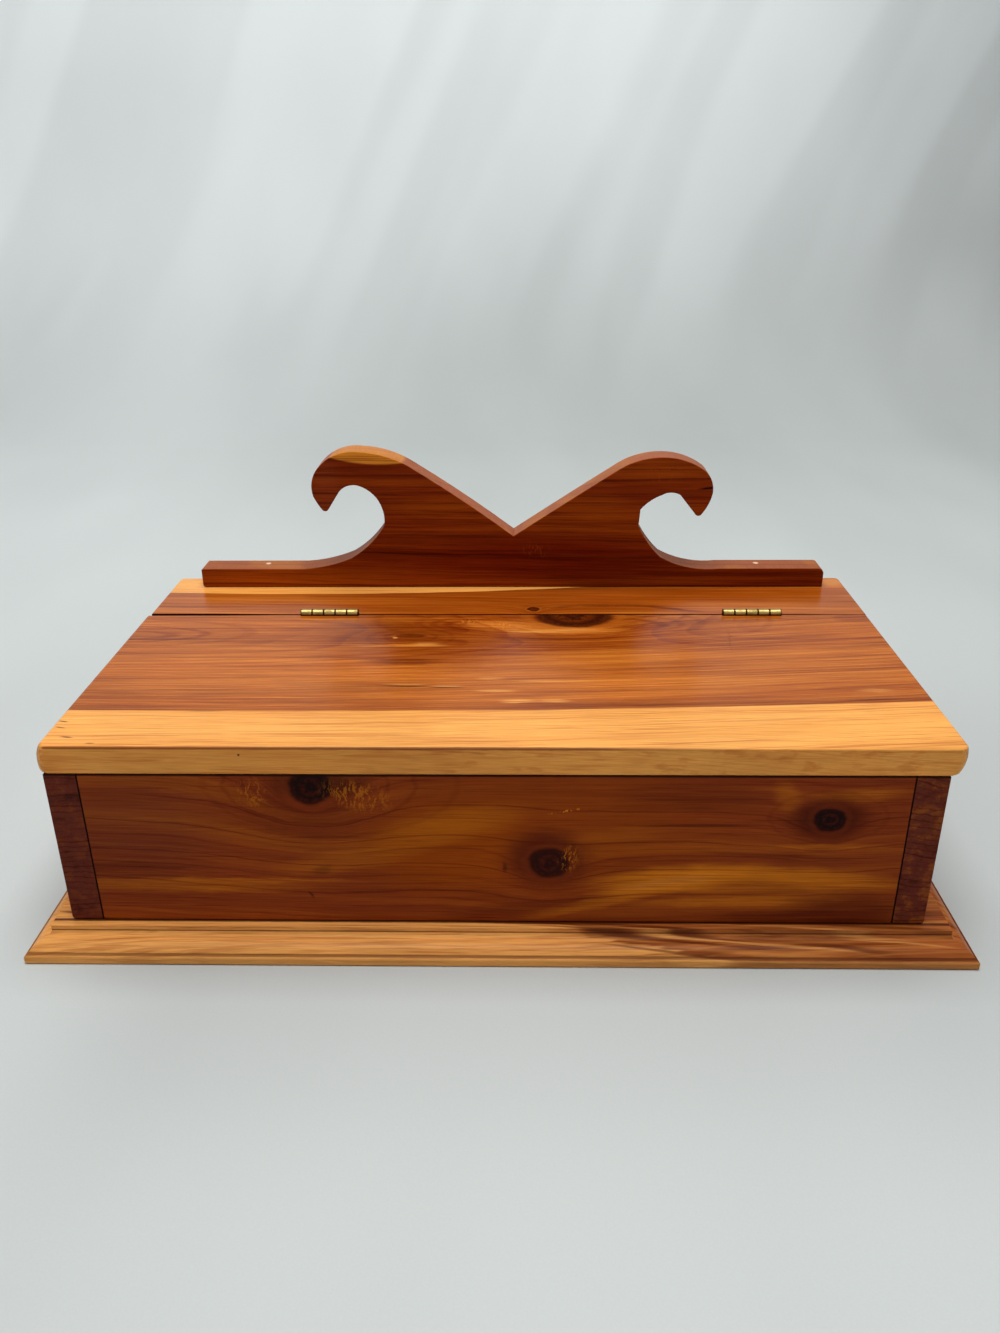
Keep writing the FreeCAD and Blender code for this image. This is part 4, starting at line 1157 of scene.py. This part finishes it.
def close_below(shape, loop, *steps):
    """Extrudes a round loop down in steps, each to a new radius, and closes it."""
    for radius, drop in steps:
        grown = bmesh.ops.extrude_edge_only(shape, edges=loop)["geom"]
        for vertex in of_kind(grown, bmesh.types.BMVert):
            flat = Vector((vertex.co.x, vertex.co.y, 0)).normalized() * radius
            vertex.co = (flat.x, flat.y, vertex.co.z - drop)
        loop = [edge for edge in of_kind(grown, bmesh.types.BMEdge) if edge.is_boundary]
    bmesh.ops.edgeloop_fill(shape, edges=loop)


def add_thread(shape, core, crest, bottom, height):
    """Winds a closed three-sided ridge up the shank."""
    turns, steps_a_turn = 7, 14
    pitch = height / (turns + 1)
    root, half = 0.9 * core, 0.3 * pitch
    section = ((root, 0, bottom - half), (crest, 0, bottom), (root, 0, bottom + half))
    start = shape.faces.new([shape.verts.new(place) for place in section])
    bmesh.ops.spin(
        shape, geom=[start, *start.edges, *start.verts], cent=(0, 0, 0), axis=(0, 0, 1),
        dvec=(0, 0, pitch / steps_a_turn), angle=2 * math.pi * turns,
        steps=steps_a_turn * turns, use_duplicate=False,
    )


def nail_shape(head, shank, length):
    """A finishing nail pointing down, its slightly cupped head's top at the origin."""
    shape = bmesh.new()
    bmesh.ops.create_circle(shape, cap_ends=True, segments=24, radius=0.45 * head)
    cup, rim, point = 0.12 * head, 0.08 * head, 2.4 * shank
    for vertex in shape.verts:
        vertex.co.z = -cup
    shaft = length - head + shank - point - rim
    close_below(
        shape, list(shape.edges),
        (0.9 * head, -cup), (head, rim), (shank, head - shank), (shank, shaft),
        (0.15 * shank, point),
    )
    bmesh.ops.recalc_face_normals(shape, faces=shape.faces)
    return shape


def fasteners(node, shape, facing):
    """One object with a copy of a fastener in each place where the node has one."""
    single = bpy.data.meshes.new("single")
    shape.to_mesh(single)
    shape.free()
    whole = bmesh.new()
    for place in fastener_places(node, facing):
        start = len(whole.verts)
        whole.from_mesh(single)
        whole.verts.ensure_lookup_table()
        bmesh.ops.transform(whole, matrix=place, verts=whole.verts[start:])
    bpy.data.meshes.remove(single)
    shaded_smooth(whole, 34)
    piece = placed_piece(f"{node}_detailed", whole)
    stand_for(piece, node)
    return piece


def fastener_places(node, facing):
    """Place and turn of each loose part of a fastener node, whose heads face one way."""
    shape = merged_copy(node)
    heads = []
    for part in grouped(
        list(shape.verts), lambda vertex: (edge.other_vert(vertex) for edge in vertex.link_edges)
    ):
        low, high = corners(part)
        reach = abs((high - low).dot(facing)) / 2
        heads.append((low + high) / 2 + facing * reach)
    shape.free()
    heads.sort(key=lambda head: tuple(round(place, 6) for place in head))
    upright = Vector((0, 0, 1)).rotation_difference(facing).to_matrix().to_4x4()
    # Each slot is left at a turn of its own
    return [
        Matrix.Translation(head) @ upright @ Matrix.Rotation(math.radians(37 * number), 4, "Z")
        for number, head in enumerate(heads, 1)
    ]


class DESKBOX_OT_base(bpy.types.Operator):
    """Finish the moulded base board"""

    bl_idname = "desk_box.base"
    bl_label = "Base Board"

    def execute(self, context):
        wear = context.scene.desk_box_wear
        finish = cedar("base_cedar", BASE, context.scene.desk_box_base, wear)
        dress(worn_copy("base_plate", wear.arris, wear.shortest), finish)
        return {"FINISHED"}


class DESKBOX_OT_walls(bpy.types.Operator):
    """Finish the front, back and side boards"""

    bl_idname = "desk_box.walls"
    bl_label = "Walls"

    def execute(self, context):
        wear = context.scene.desk_box_wear
        for node, board in (
            ("front_panel", FRONT), ("back_panel", BACK),
            ("side_panel_left", SIDE), ("side_panel_right", RIGHT_SIDE),
        ):
            finish = cedar(f"{node}_cedar", board, context.scene.desk_box_walls, wear)
            dress(worn_copy(node, wear.arris, wear.shortest), finish)
        return {"FINISHED"}


class DESKBOX_OT_lid(bpy.types.Operator):
    """Finish the lid and the fixed strip behind it"""

    bl_idname = "desk_box.lid"
    bl_label = "Lid and Strip"

    def execute(self, context):
        wear = context.scene.desk_box_wear

        def wear_lid(shape):
            round_ends(shape, wear.end_fall)
            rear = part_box("lid")[1].y
            wear_joint(shape, rear, -1, wear.joint_wear, wear.joint_close)

        def wear_strip(shape):
            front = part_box("rear_strip")[0].y
            wear_joint(shape, front, 1, wear.joint_wear, wear.joint_close)

        for node, board, reshape in (
            ("lid", LID, wear_lid), ("rear_strip", STRIP, wear_strip),
        ):
            finish = cedar(f"{node}_cedar", board, context.scene.desk_box_lid, wear)
            dress(worn_copy(node, wear.joint, wear.shortest, 2, reshape), finish)
        return {"FINISHED"}


class DESKBOX_OT_scroll_board(bpy.types.Operator):
    """Finish the board sawn into two scrolls"""

    bl_idname = "desk_box.scroll_board"
    bl_label = "Scroll Board"

    def execute(self, context):
        wear = context.scene.desk_box_wear
        finish = cedar("scroll_cedar", SCROLL, context.scene.desk_box_scroll, wear, sawn=True)
        board = worn_copy("scroll_board", wear.arris, wear.shortest, reshape=round_low_end)
        dress(board, finish)
        return {"FINISHED"}


class DESKBOX_OT_hinges(bpy.types.Operator):
    """Finish the leaves and pins of both butt hinges"""

    bl_idname = "desk_box.hinges"
    bl_label = "Hinges"

    def execute(self, context):
        tones = context.scene.desk_box_metal
        rounding = context.scene.desk_box_wear.knuckle
        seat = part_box("lid")[1].z / MM
        for side in LEFT_RIGHT:
            low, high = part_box(f"hinge_{side}_pin")
            knuckle = (high.x - low.x) / MM / KNUCKLES
            metal = brass(f"aged_brass_{side}", tones, low.x / MM, knuckle, seat)
            for leaf in ("fixed_leaf", "lid_leaf"):
                dress(worn_copy(f"hinge_{side}_{leaf}", rounding, 4 * MM, 2), metal)
            dress_node(f"hinge_{side}_pin", metal)
        return {"FINISHED"}


class DESKBOX_OT_hinge_screws(bpy.types.Operator):
    """Make the slotted brass screws of both hinges"""

    bl_idname = "desk_box.hinge_screws"
    bl_label = "Hinge Screws"

    def execute(self, context):
        metal = brass("screw_brass", context.scene.desk_box_metal)
        for side in LEFT_RIGHT:
            for part, heads in (("fixed", Vector((0, -1, 0))), ("lid", Vector((0, 1, 0)))):
                node = f"hinge_{side}_{part}_screws"
                dress(fasteners(node, screw_shape(**HINGE_SCREW), heads), metal)
        return {"FINISHED"}


class DESKBOX_OT_base_screws(bpy.types.Operator):
    """Make the steel screws that hold the base"""

    bl_idname = "desk_box.base_screws"
    bl_label = "Base Screws"

    def execute(self, context):
        tones = context.scene.desk_box_metal
        metal = steel("screw_steel", tones.steel, tones.rust)
        heads = Vector((0, 0, -1))
        dress(fasteners("base_screws", screw_shape(**BASE_SCREW), heads), metal)
        return {"FINISHED"}


class DESKBOX_OT_nails(bpy.types.Operator):
    """Make the nails of the walls and of the scroll board"""

    bl_idname = "desk_box.nails"
    bl_label = "Nails"

    def execute(self, context):
        tones = context.scene.desk_box_metal
        metal = steel("nail_steel", tones.steel, tones.rust)
        filled = steel("nail_head_pale", tones.nail_head, tones.steel, 0.1)
        for node, heads, finish in (
            ("side_nails_left", Vector((-1, 0, 0)), metal),
            ("side_nails_right", Vector((1, 0, 0)), metal),
            ("scroll_board_nails", Vector((0, 0, 1)), filled),
        ):
            dress(fasteners(node, nail_shape(**NAIL), heads), finish)
        return {"FINISHED"}


class DESKBOX_OT_stage(bpy.types.Operator):
    """Make the floor and backdrop, the lights and the camera"""

    bl_idname = "desk_box.stage"
    bl_label = "Stage"

    def execute(self, context):
        stage = context.scene.desk_box_stage
        self.make_sweep(stage)
        self.make_lights(context, stage)
        self.make_camera(context, stage)
        return {"FINISHED"}

    def make_sweep(self, stage):
        """A floor that curves up into the backdrop, just clear of the box's underside."""
        half_width, front, turn, radius, height = 3.5, -3.0, 1.1, 0.55, 2.6
        shape = bmesh.new()
        ends = [shape.verts.new((x, front, 0.0)) for x in (-half_width, half_width)]
        edge = self.pull(shape, [shape.edges.new(ends)], Vector((0, turn - front, 0)))
        curve = bmesh.ops.spin(
            shape, geom=[*edge, *edge[0].verts], cent=(0, turn, radius), axis=(1, 0, 0),
            angle=math.radians(90), steps=24,
        )["geom_last"]
        self.pull(shape, of_kind(curve, bmesh.types.BMEdge), Vector((0, 0, height)))
        bmesh.ops.translate(shape, verts=shape.verts, vec=(0, 0, -0.2 * MM))
        bmesh.ops.recalc_face_normals(shape, faces=shape.faces)
        for face in shape.faces:
            face.smooth = True
        sweep = placed_piece("sweep", shape)
        dress(sweep, cloth("stage_cloth", tuple(stage.floor)))

    def pull(self, shape, edges, way):
        """Extrudes edges by a length, and gives the new edges at the far end."""
        grown = bmesh.ops.extrude_edge_only(shape, edges=edges)["geom"]
        vertices = of_kind(grown, bmesh.types.BMVert)
        bmesh.ops.translate(shape, verts=vertices, vec=way)
        return [
            edge
            for edge in of_kind(grown, bmesh.types.BMEdge)
            if all(vertex in vertices for vertex in edge.verts)
        ]

    def make_lights(self, context, stage):
        """One large soft light overhead, and light from all round, seen as the floor's colour."""
        lamp = bpy.data.lights.new("overhead", "AREA")
        lamp.shape = "SQUARE"
        lamp.size = 1.5
        lamp.energy = stage.lamp
        holder = bpy.data.objects.new("overhead", lamp)
        holder.location = (0.0, -0.1, 2.2)
        context.scene.collection.objects.link(holder)
        world = bpy.data.worlds.new("surroundings")
        world.use_nodes = True
        nodes, links = world.node_tree.nodes, world.node_tree.links
        lit = nodes["Background"]
        lit.inputs["Color"].default_value = (*DAYLIGHT, 1.0)
        lit.inputs["Strength"].default_value = stage.sky
        seen = nodes.new("ShaderNodeBackground")
        seen.inputs["Color"].default_value = (*stage.floor, 1.0)
        rays = nodes.new("ShaderNodeLightPath")
        either = nodes.new("ShaderNodeMath")
        either.operation = "MAXIMUM"
        choice = nodes.new("ShaderNodeMixShader")
        for start, end in (
            (rays.outputs["Is Camera Ray"], either.inputs[0]),
            (rays.outputs["Is Glossy Ray"], either.inputs[1]),
            (either.outputs[0], choice.inputs["Fac"]),
            (lit.outputs[0], choice.inputs[1]),
            (seen.outputs[0], choice.inputs[2]),
            (choice.outputs[0], nodes["World Output"].inputs["Surface"]),
        ):
            links.new(start, end)
        context.scene.world = world

    def make_camera(self, context, stage):
        """The camera, turned, tipped down and rolled."""
        data = bpy.data.cameras.new("camera")
        data.lens = stage.camera_lens
        data.clip_start = 0.01
        camera = bpy.data.objects.new("camera", data)
        camera.matrix_world = (
            Matrix.Translation(stage.camera_place)
            @ Matrix.Rotation(-stage.camera_turn, 4, "Z")
            @ Matrix.Rotation(math.radians(90) - stage.camera_down, 4, "X")
            @ Matrix.Rotation(stage.camera_roll, 4, "Z")
        )
        context.scene.collection.objects.link(camera)
        context.scene.camera = camera
        context.scene.view_settings.view_transform = "Standard"


class DESKBOX_PT_panel(bpy.types.Panel):
    """Buttons for the desk box's pieces and stage"""

    bl_idname = "DESKBOX_PT_panel"
    bl_label = "Desk Box"
    bl_space_type = "VIEW_3D"
    bl_region_type = "UI"
    bl_category = "Desk Box"

    def draw(self, context):
        column = self.layout.column(align=True)
        for operator in OPERATORS:
            column.operator(operator.bl_idname)


PROPERTY_GROUPS = {
    "desk_box_lid": DeskBoxLidTones,
    "desk_box_walls": DeskBoxWallTones,
    "desk_box_scroll": DeskBoxScrollTones,
    "desk_box_base": DeskBoxBaseTones,
    "desk_box_metal": DeskBoxMetalTones,
    "desk_box_wear": DeskBoxWear,
    "desk_box_stage": DeskBoxStage,
}
OPERATORS = (
    DESKBOX_OT_stage,
    DESKBOX_OT_base,
    DESKBOX_OT_walls,
    DESKBOX_OT_lid,
    DESKBOX_OT_scroll_board,
    DESKBOX_OT_hinges,
    DESKBOX_OT_hinge_screws,
    DESKBOX_OT_base_screws,
    DESKBOX_OT_nails,
)
CLASSES = (*PROPERTY_GROUPS.values(), *OPERATORS, DESKBOX_PT_panel)


def register():
    for made in CLASSES:
        bpy.utils.register_class(made)
    for name, group in PROPERTY_GROUPS.items():
        setattr(bpy.types.Scene, name, bpy.props.PointerProperty(type=group))


def unregister():
    for name in PROPERTY_GROUPS:
        delattr(bpy.types.Scene, name)
    for made in reversed(CLASSES):
        bpy.utils.unregister_class(made)


def main():
    register()
    bpy.ops.desk_box.stage()
    bpy.ops.desk_box.base()
    bpy.ops.desk_box.walls()
    bpy.ops.desk_box.lid()
    bpy.ops.desk_box.scroll_board()
    bpy.ops.desk_box.hinges()
    bpy.ops.desk_box.hinge_screws()
    bpy.ops.desk_box.base_screws()
    bpy.ops.desk_box.nails()


if __name__ == "__main__":
    main()
